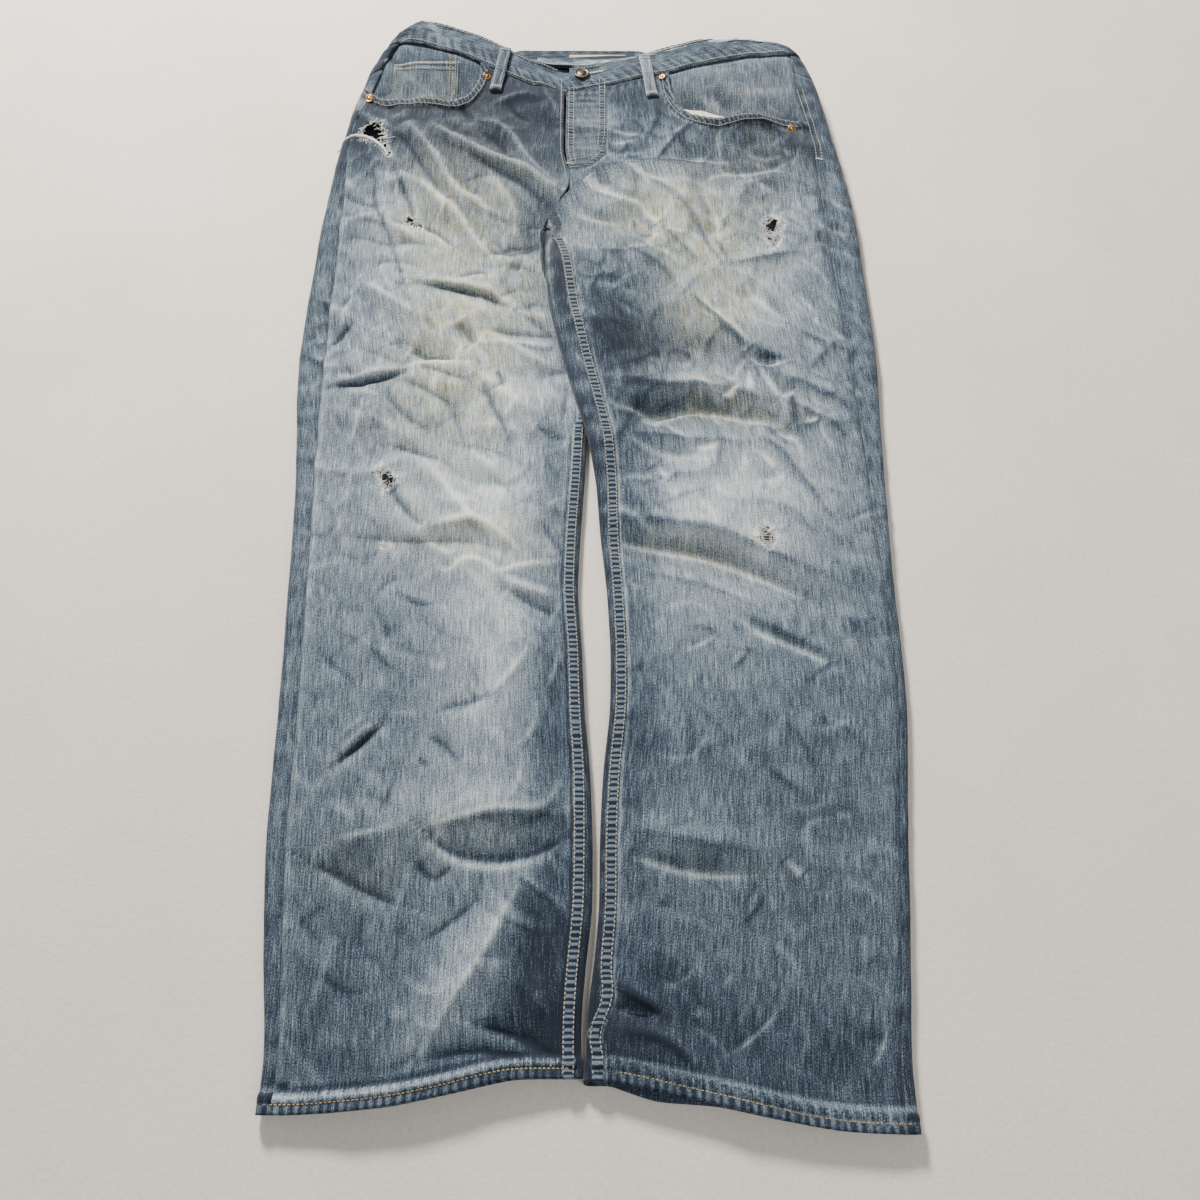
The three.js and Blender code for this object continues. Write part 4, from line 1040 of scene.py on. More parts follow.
# ---- The fronts ----
def seam_values(side, x, y, front=True):
    """Where the ladders and ropes of the seams lie: along, across (1 at the edge) and strength."""
    inseam = np.abs(side.sign * (x - side.inseam(y)))
    leg = side.open_leg(y)
    hem = y - side.hem_front(x)
    places = [(y, inseam / 4.3, 1.0 * leg), (x * 0.7, np.abs(hem - 3) / 4.0, 0.5 * np.ones(x.shape))]
    if front:
        lip = signed_distance(mouth_region(side), x, y)
        places.append(((x + 0.5 * y) * 0.9, np.abs(lip - 3.5) / 4.6, 0.6 * np.ones(x.shape)))
        if side.sign > 0:
            across = x - fly_edge(y)
            width = fly_width(y, 0.02)
            high = ramp(0, 3, y - FLY_FOOT)
            places.append((y * 1.25, np.abs(across - 6.5) / 3.2, 0.75 * high))
            places.append((y * 1.25, np.abs(across - width + 4) / 4.0, 0.75 * high))
            places.append((y * 0.5, np.abs(across - width / 2) / (width / 2), 0.16 * high))
    best = np.zeros(x.shape)
    result = np.zeros(x.shape + (3,))
    result[..., 1] = 2.0
    for distance, across, strength in places:
        score = strength * (across < 1.1)
        better = score > best
        result[better] = np.stack([distance + 0 * x, across, strength + 0 * x], -1)[better]
        best = np.maximum(best, score)
    return result


def follow(side, s, u, edges):
    """x and y of the fraction u between two lines, on the front's level s."""
    x = mix(*edges(s), u)
    for _ in range(SETTLE):
        y = level_y(side, x, s, 1.0)
        x = mix(*edges(y), u)
    return x, y


def front_edges(side):
    """The front's two long edges as a function of the level."""
    def edges(y):
        lap = LAP * (1 - ramp(CROTCH - 28, CROTCH - 8, y)) * (1 - side.hidden(y))
        slit = 1.0 * ramp(944, 962, y)
        inner = np.where(y < CROTCH, side.inseam(y) - side.sign * lap, side.rise(y) + side.sign * slit)
        return side.outseam(y), inner
    return edges


def cut_away(x, y, polygons):
    """Which cells stay outside the outlines, with the grid's points moved onto the cut edges."""
    def distance(px, py):
        return np.min([signed_distance(p, px, py) for p in polygons], axis=0)

    centre = [(v[:-1, :-1] + v[:-1, 1:] + v[1:, 1:] + v[1:, :-1]) / 4 for v in (x, y)]
    keep = distance(*centre) > 0
    padded = np.pad(keep, 1, constant_values=True)
    corners = [padded[:-1, :-1], padded[:-1, 1:], padded[1:, :-1], padded[1:, 1:]]
    rim = np.any(corners, axis=0) & ~np.all(corners, axis=0)
    px, py = x[rim], y[rim]
    for _ in range(2):
        away = distance(px, py)
        gx = (distance(px + 0.4, py) - distance(px - 0.4, py)) / 0.8
        gy = (distance(px, py + 0.4) - distance(px, py - 0.4)) / 0.8
        size = np.maximum(gx**2 + gy**2, 0.3)
        step = np.clip(away, -3.2, 3.2)
        px, py = px - step * gx / size, py - step * gy / size
    x, y = x.copy(), y.copy()
    x[rim], y[rim] = px, py
    return x, y, keep


def cloth_values(side, x, y, points, front=True, fade=0.0, dark=0.0, dirt=1.0, flip=1):
    axis = (side.outer(y) + side.inner(np.minimum(y, 800))) / 2
    cloth = np.stack([x - axis, y, np.full(x.shape, 40.0 * side.sign + 90 * (not front))], -1)
    wear_and_shade = wear_and_shade_of(x, y, flip * normals(points), points, fade, dark, dirt)
    return {"cloth": cloth, "wear_and_shade": wear_and_shade, "seam": seam_values(side, x, y, front)}


def in_hem(above):
    """1 in the turned hem and 0 above it."""
    return 1 - ramp(HEM_DEPTH - 1, HEM_DEPTH + 1.5, above)


def front_piece(side):
    """The front from outseam to inseam and fly, cut at the pocket's mouth and the rips."""
    s = np.arange(0, WAIST - 0.3, CELL)[:, None]
    s = s * (WAIST - WAIST_GAP) / s.max()
    u = np.linspace(0, 1, FRONT_COLUMNS)[None]
    x, y = follow(side, s, u, front_edges(side))
    polygons = [mouth_region(side)] + RAGGED[side.sign]
    x, y, keep = cut_away(x, y, polygons)
    points = top_point(side, x, y)
    lip = signed_distance(mouth_region(side), x, y)
    torn = np.min([signed_distance(p, x, y) for p in RAGGED[side.sign]], axis=0)
    hem = in_hem(y - side.hem_front(x))
    waist = ramp(-9, -2, y - waist_front(x))
    fade = 0.5 * np.exp(-np.maximum(torn, 0) / 2.0) + 0.12 * bell(lip, 1.6) - 0.1 * ramp(20, 4, lip)
    fade = fade + 0.3 * bell(y - side.hem_front(x) - HEM_DEPTH + 3, 2.6)
    dark = 0.3 * waist + 0.1 * hem
    values = cloth_values(side, x, y, points, fade=fade, dark=dark)
    thick = DENIM + (HEM - DENIM) * hem + 0.9 * (1 - ramp(LIP - 1, LIP + 1, lip))
    obj = wall_mesh(f"front_{side.name}_cloth", points, thick, keep, values, flip=side.sign > 0)
    link(obj, DENIM_CLOTH)
    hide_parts(f"front_{side.name}")


# ---- The backs: round the inner fold, under the leg, round the outer fold and up to the outseam ----
def back_columns():
    """The parts of a back's width in order, each with its fractions."""
    under = int(240 / UNDER_CELL)
    columns = [("strip_in", p) for p in np.linspace(0, 1, 5)[:-1]]
    columns += [("arc_in", p) for p in np.linspace(0, 1, 8)[:-1]]
    columns += [("under", p) for p in np.linspace(0, 1, under)[:-1]]
    columns += [("arc_out", p) for p in np.linspace(0, 1, 11)[:-1]]
    return columns + [("strip_out", p) for p in np.linspace(0, 1, 10)]


def back_column(side, part, p, s):
    """One column of the back's middle surface: points, and how far it faces up."""
    sign = side.sign
    y = np.array(s, float)
    for _ in range(SETTLE):
        outer, r = side.outer(y), side.round(y)
        inner, ri = side.inner(y), side.inner_round(y)
        edge = inner + sign * ri if part in ("strip_in", "arc_in") else outer - sign * r
        turn = 1.0
        if part == "strip_out":
            x = mix(outer - sign * r, side.outseam(y), p)
        elif part == "arc_out":
            turn = math.sin(mix(-math.pi / 2, math.pi / 2, p))
            x = outer - sign * r * (1 - math.cos(mix(-math.pi / 2, math.pi / 2, p)))
        elif part == "under":
            turn = -1.0
            start = np.where(y < CROTCH, inner + sign * ri, seat(y) + sign * 0.3)
            x = mix(start, outer - sign * r, p)
        elif part == "arc_in":
            turn = math.sin(mix(math.pi / 2, -math.pi / 2, p))
            x = inner + sign * ri * (1 - math.cos(mix(math.pi / 2, -math.pi / 2, p)))
        else:
            x = mix(side.inseam(y) + sign * 2.0, inner + sign * ri, p)
        y = level_y(side, x, s, (1 + turn) / 2)
    if part in ("strip_in", "strip_out"):
        z = plain_top(side, x, y) + seam_shape(side, x, y, False)
    elif part == "under":
        z = bottom_z(side, x, y)
    else:
        top = plain_top(side, edge, y) + seam_shape(side, edge, y, False) * (part == "arc_out")
        z = mix(bottom_z(side, edge, y), top, (1 + turn) / 2)
    return np.stack([x, y, z], -1), turn


def around_piece(side, name, levels, columns, keep=None):
    """A back or a yoke, from the seams on top round the folds and under the leg."""
    made = [back_column(side, part, p, levels[:, k]) for k, (part, p) in enumerate(columns)]
    points = np.stack([m[0] for m in made], 1)
    x, y = points[..., 0], points[..., 1]
    facing = np.array([m[1] for m in made])[None] + 0 * x
    hem = y - mix(side.hem_back(x), side.hem_front(x), (1 + facing) / 2)
    turned = in_hem(hem)
    flip = side.sign < 0
    # Painted light: the back's upward parts are lifted lighter to make up for the light they lack beside the
    # folds, with uneven wear blotches along the seam.
    strip = (0.2 + 0.12 * bars(y, 26.0, 1.3)) * (1 + facing) / 2
    values = cloth_values(side, x, y, points, False, strip, 0.2 * turned, 0.6, -1 if flip else 1)
    below = (1 - facing) / 2
    values["wear_and_shade"][..., 0] = mix(values["wear_and_shade"][..., 0], 0.46 + 0.12 * waves(x, y, 9), 0.6 * below)
    thick = DENIM + (HEM - DENIM) * turned
    obj = wall_mesh(name + "_cloth", points, thick, keep, values, flip=flip)
    link(obj, DENIM_CLOTH)
    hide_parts(name)


YOKE_SEAM = (1012.0, 1056.0)  # its level at the seat and at the side
YOKE_GAP = 0.3  # from the seam to each piece's edge


def back_piece(side):
    columns = back_columns()
    wrap = sum(part in ("strip_in", "arc_in") for part, _ in columns)
    plain = np.arange(0, PLAIN_TOP, CELL)
    top = mix(*YOKE_SEAM, np.clip((np.arange(len(columns)) - wrap) / (len(columns) - wrap - 1), 0, 1))
    rising = [mix(PLAIN_TOP, top - YOKE_GAP, t) for t in np.linspace(0, 1, 14)]
    levels = np.vstack([np.repeat(plain[:, None], len(columns), 1), np.stack(rising)])
    keep = np.ones((len(levels) - 1, len(columns) - 1), bool)
    keep[levels[1:, 0] > CROTCH, :wrap] = False
    around_piece(side, f"back_{side.name}", levels, columns, keep)


def yoke_piece(side):
    columns = [c for c in back_columns() if c[0] not in ("strip_in", "arc_in")]
    start = mix(*YOKE_SEAM, np.linspace(0, 1, len(columns))) + YOKE_GAP
    levels = np.stack([mix(start, WAIST - WAIST_GAP, t) for t in np.linspace(0, 1, 22)])
    around_piece(side, f"yoke_{side.name}", levels, columns)


# ---- Behind the pocket mouths ----
FACING = {-1: (992.0, -112.0), 1: (968.0, 60.0)}  # its lower edge and its inner edge
FACING_UNDER = 3.0  # how far it runs on under the strip of the back
SINK = [(122, 1018, 28, 8.0), (100, 1034, 24, 7.0), (178, 1040, 26, -2.5)]  # hollows behind the right mouth


def facing_z(side, x, y):
    """The height of the cloth one layer behind the pocket's mouth."""
    z = plain_top(side, x, y) - gape(side, x, y) - LAYER - 0.2
    z = z - 0.9 * ramp(-4, 0, y - waist_front(x)) - 0.9 * bell(x - side.outseam(y), 3.0)
    if side.sign > 0:
        folds = np.sin((x * 0.5 + y * 0.9) / 9.0 + 1.5 * np.sin(x / 21.0))
        z = z + 3.0 * folds * bell(x - 130, 40) * bell(y - 1034, 15)
        return z - sum(d * bell(x - cx, r) * bell(y - cy, 0.6 * r) for cx, cy, r, d in SINK)
    return z - 1.2 * bell(x + 190, 40) * bell(y - 1040, 14)


def patch_piece(side, name, x, y, z, thickness, material, fade=0.0, dark=0.0, dirt=1.0, *, replaced):
    """A sheet over a grid of points that stands for one node."""
    points = np.stack(np.broadcast_arrays(x, y, z), -1)
    x, y = points[..., 0], points[..., 1]
    cloth = np.stack([x, y, np.full(x.shape, 300.0 + 20 * side.sign)], -1)
    flip = np.cross(points[0, 1] - points[0, 0], points[1, 0] - points[0, 0])[2] < 0
    wear_and_shade = wear_and_shade_of(x, y, normals(points) * (-1 if flip else 1), points, fade, dark, dirt)
    none = np.zeros(points.shape)
    none[..., 1] = 2
    obj = wall_mesh(name, points, thickness, None, {"cloth": cloth, "wear_and_shade": wear_and_shade, "seam": none}, flip=flip)
    link(obj, material)
    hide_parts(replaced)


def facing_piece(side):
    """The cloth that shows above and behind a pocket's mouth."""
    bottom, inner = FACING[side.sign]
    v = np.linspace(0, 1, 48)[:, None]
    u = np.linspace(0, 1, 60)[None]
    y = 0 * u + mix(bottom, 1080, v)
    for _ in range(4):
        edge = side.sign * (side.outer(y) - side.sign * 0.6 * side.round(y))
        edge = side.sign * np.minimum(side.sign * side.outseam(y) + FACING_UNDER, edge)
        x = mix(edge, inner, u)
        y = mix(bottom, waist_front(x) + 6.0, v)
    name = f"pocket_facing_{side.name}"
    patch_piece(side, name + "_cloth", x, y, facing_z(side, x, y), DENIM, DENIM_CLOTH, 0.12,
                       replaced=name)


def mouth_y(side, x):
    curve = rounded(MOUTHS[side.sign])
    curve = curve[np.argsort(curve[:, 0])]
    return np.interp(x, curve[:, 0], curve[:, 1])


COIN = (-226.0, -155.0)  # sides of the coin pocket


def coin_top(x):
    return np.minimum(waist_front(x) - 10, 1079)


def coin_piece():
    """The coin pocket, on the left facing."""
    v = np.linspace(0, 1, 26)[:, None]
    y = mix(1032.0, 1062.0, v)
    for _ in range(4):
        outer = np.maximum(COIN[0], LEFT.outer(y) + 0.8 * LEFT.round(y))
        x = mix(outer, COIN[1], np.linspace(0, 1, 40)[None])
        y = mix(mouth_y(LEFT, x) + 1.2, coin_top(x), v)
    z = facing_z(LEFT, x, y) + DENIM + 0.15
    edge = np.minimum(COIN[1] - x, coin_top(x) - y)
    fade = 0.2 + 0.24 * bell(edge, 2.0) + 0.1 * bell(edge - 7, 2.5)
    patch_piece(LEFT, "coin_pocket_cloth", x, y, z, DENIM, DENIM_CLOTH, fade, replaced="coin_pocket")


BAGS = {-1: (-218.0, -128.0), 1: (202.0, 62.0)}
BAG_BOTTOM, BAG_TOP, BAG_DEPTH = 888.0, 1026.0, 2.4


def bag_piece(side):
    """A flat pouch, with its front layer a little above the lip of the right mouth."""
    outer, inner = BAGS[side.sign]
    v = np.linspace(0, 1, 40)[:, None]
    turn = np.r_[np.linspace(0, 1, 30), np.linspace(1, 0, 30)][None]
    layer = np.r_[np.zeros(30), np.ones(30)][None]
    corner = 12 * (1 - ramp(0, 0.18, v))
    x = mix(outer - side.sign * corner, inner + side.sign * corner, turn)
    peek = np.minimum(mouth_y(side, x) + 1 + 26 * ramp(168, 104, x) * ramp(82, 92, x), BAG_TOP)
    top = np.where((side.sign > 0) & (layer < 0.5), peek, BAG_TOP)
    y = mix(BAG_BOTTOM, top, v)
    closed = ramp(0, 0.06, v) * np.minimum(ramp(0, 0.04, turn), ramp(1, 0.96, turn))
    z = facing_z(side, x, y) - LAYER - 0.4 - layer * BAG_DEPTH * closed
    z = z + (1 - layer) * 3.3 * ramp(-9, -2, y - mouth_y(side, x)) * (side.sign > 0)
    name = f"pocket_bag_{side.name}"
    patch_piece(side, name + "_lining", x, y, z, LINING, LINING_CLOTH, replaced=name)


def underlap_piece():
    v = np.linspace(0, 1, 44)[:, None]
    x = np.linspace(-56, 2, 22)[None] + 0 * v
    y = mix(964, waist_front(x) - 1.0, v)
    z = np.minimum(plain_top(LEFT, x, y), plain_top(RIGHT, x, y)) - LAYER - 0.2
    patch_piece(RIGHT, "fly_underlap_cloth", x, y, z, DENIM, DENIM_CLOTH, dark=0.5, dirt=0,
                       replaced="fly_underlap")


# ---- The back pockets and the loops behind, between the cloth and the floor ----
POCKET_THICK = 1.0
POCKET = {"bottom": 868.0, "point": 14.0, "top": 1003.0, "half": 70.0, "apart": 118.0}


def back_pocket_piece(side):
    """A patch pocket with a pointed foot, under the back."""
    middle = MIDDLE_LOOP[0] + side.sign * POCKET["apart"]
    across = np.linspace(-1, 1, 40)[None] * POCKET["half"]
    v = np.linspace(0, 1, 38)[:, None]
    y = mix(POCKET["bottom"] + POCKET["point"] * np.abs(across) / POCKET["half"], POCKET["top"], v)
    x = middle + across * (1 + 0.03 * v)
    z = 1.05 + 0.1 * (1 + waves(x, y, 15, (20, 40)))
    name = f"back_pocket_{side.name}"
    edge = np.minimum(np.minimum(POCKET["half"] - np.abs(across), 60), 90 * (1 - v) + 1) + 0 * x
    patch_piece(side, name + "_cloth", x, y, z, POCKET_THICK, DENIM_CLOTH, fade=0.1 + 0.15 * bell(edge, 3),
                       dirt=0.4, replaced=name)


LOOP_WIDTH = 12.0
BACK_LOOP_THICK = 1.4
BACK_LOOPS = ("belt_loop_back_left", "belt_loop_back_middle", "belt_loop_back_right")


def box_mm(name):
    a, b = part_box(name)
    return np.array(a) * 1000 - ORIGIN, np.array(b) * 1000 - ORIGIN


def back_loop_piece(name):
    a, b = box_mm(name)
    v = np.linspace(0, 1, 20)[:, None]
    u = np.linspace(0, 1, 7)[None]
    x, y = mix(a[0], b[0], u) + 0 * v, mix(a[1], b[1], v) + 0 * u
    z = 0.95 + 0.1 * bars(y, 6, 1)
    fade = 0.15 * bell(np.abs(u - 0.5) - 0.5, 0.2) + 0 * x
    patch_piece(LEFT, name + "_cloth", x, y, z, BACK_LOOP_THICK, DENIM_CLOTH, fade, replaced=name)


# ---- The waistband ----
BAND_END, BAND_UNDERLAP = -34.0, 4.0


def front_height(x, y):
    """The height of the top without seams, on both sides of the fly."""
    share = ramp(-14, 14, x - fly_edge(np.minimum(y, 1045)))
    return mix(plain_top(LEFT, x, y), plain_top(RIGHT, x, y), share)


BAND_CURL, BAND_SHOWS = 8.0, 8.0  # how far the band's back stands up, and out past the front


def seen_behind(x):
    """Where the inside of the band's back shows past the front."""
    return ramp(-125, -85, x) * (1 - ramp(40, 80, x))


def band_points(s, part, t):
    """Middle points of the waistband on the levels s, at the fractions t of one of its parts.

    Known fault: on the right fold the upper levels run off to the left, behind the band's front.
    """
    side = RIGHT if part.startswith("right") else LEFT
    sign = side.sign
    y = np.full(np.broadcast(s, t).shape, 1110.0)
    for _ in range(SETTLE):
        outer, r = side.outer(y), side.round(y)
        turn = 1.0
        if part == "right":
            x = mix(BAND_END, side.fold_start(y), t)
        elif part == "left":
            x = mix(side.fold_start(y), BAND_UNDERLAP, t)
        elif part == "back":
            x = mix(RIGHT.fold_start(y), LEFT.fold_start(y), t)
            turn = -1.0
        else:
            angle = mix(math.pi / 2, -math.pi / 2, t) * sign
            turn = np.sin(angle)
            x = outer - sign * r * (1 - np.cos(angle))
        y = level_y(side, x, s, (1 + turn) / 2)
    floor_z = 3.2 + BAND_CURL * ramp(WAIST, WAIST + BAND_WIDTH, s) * seen_behind(x)
    if part == "back":
        y = y + BAND_SHOWS * ramp(WAIST, WAIST + BAND_WIDTH, s) * seen_behind(x)
    edge = np.where(sign * x > 0, side.fold_start(y), x)
    top = front_height(x if part in ("right", "left") else edge, y)
    if part == "left":
        top = top - (BAND + 0.6) * ramp(-66, BAND_END - 5, x)
    z = mix(floor_z + 0 * x, top, (1 + turn) / 2)
    return np.stack(np.broadcast_arrays(x, y, z), -1)


BAND_PARTS = (("right", 100), ("right_side", 18), ("back", 90), ("left_side", 20), ("left", 96))


def band_grid(rows):
    grids = [band_points(rows[:, None], part, np.linspace(0, 1, n)[None])[:, (i > 0):]
             for i, (part, n) in enumerate(BAND_PARTS)]
    return np.concatenate(grids, 1)


def waistband_piece():
    """One strip from end to end, with a puckered seam edge and a worn top edge."""
    rows = WAIST + np.r_[0.2, 0.9, np.linspace(3, BAND_WIDTH - 3, 11), BAND_WIDTH - 0.9, BAND_WIDTH]
    grid = band_grid(rows)
    steps = np.linalg.norm(np.diff(grid[len(rows) // 2], axis=0), axis=1)
    run = np.r_[0, np.cumsum(steps)][None] + 0 * grid[..., 0]
    across = (rows - WAIST)[:, None] + 0 * run
    normal = -normals(grid)
    rope = (0.45 * bars(run + 0.7 * across, 10.5, 0.4) * bell(across - 9, 9)
            + 0.3 * bars(run, 7.0, 2.2) * bell(across - 33, 4))
    slow = 0.9 * np.sin(run / 23 + 1.7 * np.sin(run / 41)) * bell(across - 20, 12)
    grid = grid + normal * ((rope + slow) * ramp(0, 12, grid[..., 2] - 4))[..., None]
    thick = np.full(len(rows), BAND)
    thick[[0, -1]], thick[[1, -2]] = 1.2, 2.2
    cloth = np.stack([across * 1.0, run, np.full(run.shape, 500.0)], -1)
    wear_and_shade = wear_and_shade_of(grid[..., 0], grid[..., 1], -normals(grid), grid, 0.4)
    # Painted shade on the band's back and on its inside where that shows past the front.
    behind = 1 - ramp(6, 12, grid[..., 2]) * (1 - seen_behind(grid[..., 0]) * (grid[..., 2] < 16))
    blotches = np.maximum(waves(run * 3, across * 3, 21, (30, 80)), -0.6)
    wear_and_shade[..., 0] += 0.1 * bell(across, 2.5) + 0.16 * blotches * (1 - behind)
    wear_and_shade[..., 2] += 0.3 * ramp(BAND_WIDTH - 4.5, BAND_WIDTH - 1.5, across) + 0.7 * behind
    seam = np.stack([run * 0.8 + across * 0.5, np.abs(across - 9) / 10.0, np.full(run.shape, 0.14)], -1)
    values = {"cloth": cloth, "wear_and_shade": wear_and_shade, "seam": seam}
    obj = wall_mesh("waistband_cloth", grid, thick[:, None], None, values, flip=True)
    link(obj, DENIM_CLOTH)
    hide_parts("waistband")


# ---- Belt loops in front ----
FRONT_LOOPS = {"belt_loop_front_left": (-104.0, 1101.0, -10.0), "belt_loop_front_right": (49.0, 1094.0, 8.0)}
LOOP_LENGTH = 58.0
LOOP_THICK, LOOP_FOLD = 1.5, 1.6  # its strip, and what the fold at each end adds


def loop_surface(name, u, v):
    """u across and v down the loop, both from 0 to 1."""
    x0, top, lean = FRONT_LOOPS[name]
    y = top - v * LOOP_LENGTH
    x = x0 + lean * v + (u - 0.5) * LOOP_WIDTH
    on_band = ramp(-3, 3, y - waist_front(x))
    z = front_height(x, y) + mix(DENIM / 2, BAND / 2, on_band) + 1.4
    z = z + 1.3 * np.sin(np.pi * np.clip(v, 0, 1)) ** 0.5 + 0.5 * bell(u - 0.5, 0.3)
    return np.stack(np.broadcast_arrays(x, y, z), -1)


def front_loop_piece(name):
    """A belt loop that arches over the band, doubled at both ends."""
    v = np.linspace(0, 1, 34)[:, None]
    u = np.linspace(0, 1, 9)[None]
    points = loop_surface(name, u, v)
    end = 1 - ramp(0.07, 0.13, np.minimum(v, 1 - v)) + 0 * points[..., 0]
    edge = np.abs(np.abs(u - 0.5) - 0.5) * LOOP_WIDTH + 0 * v
    cloth = np.stack([u * LOOP_WIDTH + 0 * v, v * LOOP_LENGTH + 0 * u, 700 + 0 * u * v], -1)
    wear_and_shade = wear_and_shade_of(points[..., 0], points[..., 1], -normals(points), points, 0.28)
    wear_and_shade[..., 0] += 0.16 * bell(edge, 1.8) + 0.15 * bell(np.minimum(v, 1 - v) - 0.1, 0.03)
    wear_and_shade[..., 2] += 0.3 * bell(edge - 6, 2.0)
    seam = np.stack([v * LOOP_LENGTH + 0 * u, np.abs(u - 0.5) * 2 + 0 * v, 0.3 * end], -1)
    values = {"cloth": cloth, "wear_and_shade": wear_and_shade, "seam": seam}
    obj = wall_mesh(name + "_cloth", points, LOOP_THICK + LOOP_FOLD * end, None, values, flip=True)
    link(obj, DENIM_CLOTH)
    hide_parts(name)


LABEL_ROWS = (7.5, 27.5)  # its edges above the band's lower edge
LABEL_LONGER = 5.0  # how far it runs past its solid on the right
LABEL_RAISED = 2.2  # its middle above the band's face
LABEL_THICK = 0.8
LABEL_LEVEL = 1100.0  # the level at which its place across is worked out


def label_piece():
    """The bare label inside the band's back."""
    a, b = box_mm("waist_label")
    level = WAIST + mix(*LABEL_ROWS, np.linspace(0, 1, 14))[:, None]
    right, left = RIGHT.fold_start(LABEL_LEVEL), LEFT.fold_start(LABEL_LEVEL)
    across = (right - np.linspace(a[0], b[0] + LABEL_LONGER, 32)[None]) / (right - left)
    x, y, z = np.moveaxis(band_points(level, "back", across), -1, 0)
    z = z + BAND / 2 + LABEL_RAISED
    patch_piece(LEFT, "waist_label_cloth", x, y, z, LABEL_THICK, LABEL_CLOTH, replaced="waist_label")


# ---- Turned metal ----
def turned_mesh(profile, base, axis, segments):
    """A profile of (radius, height) turned about an axis, with closed ends."""
    profile = np.asarray(profile, float)
    angle = np.linspace(0, 2 * math.pi, segments, endpoint=False)
    axis = axis / np.linalg.norm(axis)
    right = np.cross(axis, (0.0, 1.0, 0.3))
    right /= np.linalg.norm(right)
    up = np.cross(axis, right)
    ring = np.cos(angle)[:, None] * right + np.sin(angle)[:, None] * up
    points = (base + profile[:, None, 1:] * axis + profile[:, None, :1] * ring[None]).reshape(-1, 3)
    rows = np.arange(len(profile) * segments).reshape(len(profile), segments)
    a, b = rows[:-1], rows[1:]
    quads = np.stack([a, np.roll(a, -1, 1), np.roll(b, -1, 1), b], -1).reshape(-1, 4)
    points = np.vstack([points, base + profile[0, 1] * axis, base + profile[-1, 1] * axis])
    last = len(points) - 1
    caps = [np.stack([np.roll(rows[0], -1), rows[0], np.full(segments, last - 1)], -1),
            np.stack([rows[-1], np.roll(rows[-1], -1), np.full(segments, last)], -1)]
    return points, [quads, np.concatenate(caps)]


def surface_frame(height, x, y):
    """The point of a surface over x, y and its normal."""
    z = height(np.array([x, x + 2.0, x, x - 2.0, x]), np.array([y, y, y + 2.0, y, y - 2.0]))
    normal = np.array([-(z[1] - z[3]) / 4, -(z[2] - z[4]) / 4, 1.0])
    return np.array([x, y, z[0]]), normal / np.linalg.norm(normal)


RIVETS = {"rivet_left_side": (-1, -250, 1030, 4.8), "rivet_left_front": (-1, -124, 1064, 4.8),
          "rivet_right_front": (1, 68.5, 1065, 3.8), "rivet_right_side": (1, 206, 991, 4.8)}


def rivet_piece(name):
    sign, x, y, r = RIVETS[name]
    side = LEFT if sign < 0 else RIGHT
    base, normal = surface_frame(lambda px, py: top_point(side, px, py)[..., 2], x, y)
    profile = [(1.4, -3.2), (1.4, 1.0), (r * 0.92, 1.0), (r, 1.3), (r * 0.97, 1.8), (r * 0.84, 2.15),
               (r * 0.68, 2.1), (r * 0.5, 1.75), (r * 0.34, 1.7), (r * 0.3, 2.2), (r * 0.2, 2.5), (0.3, 2.55)]
    obj = mesh_object(name + "_metal", *turned_mesh(profile, base, normal, 28))
    link(obj, COPPER)
    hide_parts(name)


BUTTON_PLACE = (-20.0, 1074.0)


def button_piece():
    base, normal = surface_frame(front_height, *BUTTON_PLACE)
    profile = [(2.0, -4.5), (2.0, 1.6), (7.4, 1.6), (8.3, 2.0), (8.5, 2.7), (8.2, 3.4), (7.4, 3.8),
               (6.6, 3.7), (5.9, 3.3), (5.2, 3.25), (4.6, 3.5), (3.9, 3.9), (2.6, 4.2), (1.2, 4.3),
               (0.3, 4.3)]
    obj = mesh_object("button_metal", *turned_mesh(profile, base, normal, 48))
    link(obj, GUNMETAL)
    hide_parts("button")


# ---- Stitches: arched capsules along rows on the cloth ----
ARCH = 0.35  # how far a stitch's middle stands up
STITCHED = 0.72  # the part of the pitch that the thread covers
BAND_PITCH = 3.4  # from one stitch to the next along the waistband
UP = (0.0, 0.0, 1.0)
DOWNWARD = (0.0, 0.0, -1.0)


def capsules(starts, ends, up, radius):
    """Arched six-sided capsules from starts to ends."""
    way = ends - starts
    length = np.linalg.norm(way, axis=1, keepdims=True)
    way = way / np.maximum(length, 1e-6)
    across = np.cross(way, up)
    across /= np.maximum(np.linalg.norm(across, axis=1, keepdims=True), 1e-6)
    up = np.cross(across, way)
    rings, sides = ((0.0, 0.55), (0.2, 1.0), (0.8, 1.0), (1.0, 0.55)), 6
    points = []
    for t, wide in rings:
        centre = starts + way * length * t + up * (ARCH * math.sin(math.pi * t) - 0.1)
        for k in range(sides):
            a = 2 * math.pi * k / sides
            points.append(centre + radius * wide * (math.cos(a) * across + math.sin(a) * up))
    points = np.stack(points, 1)
    count, size = len(starts), points.shape[1]
    pairs = [(k, (k + 1) % sides) for k in range(sides)]
    quads = [(r * sides + k, r * sides + n, (r + 1) * sides + n, (r + 1) * sides + k)
             for r in range(3) for k, n in pairs]
    quads += [(0, 5, 2, 1), (5, 4, 3, 2), (18, 19, 20, 23), (20, 21, 22, 23)]
    faces = (np.array(quads)[None] + size * np.arange(count)[:, None, None]).reshape(-1, 4)
    return points.reshape(-1, 3), faces


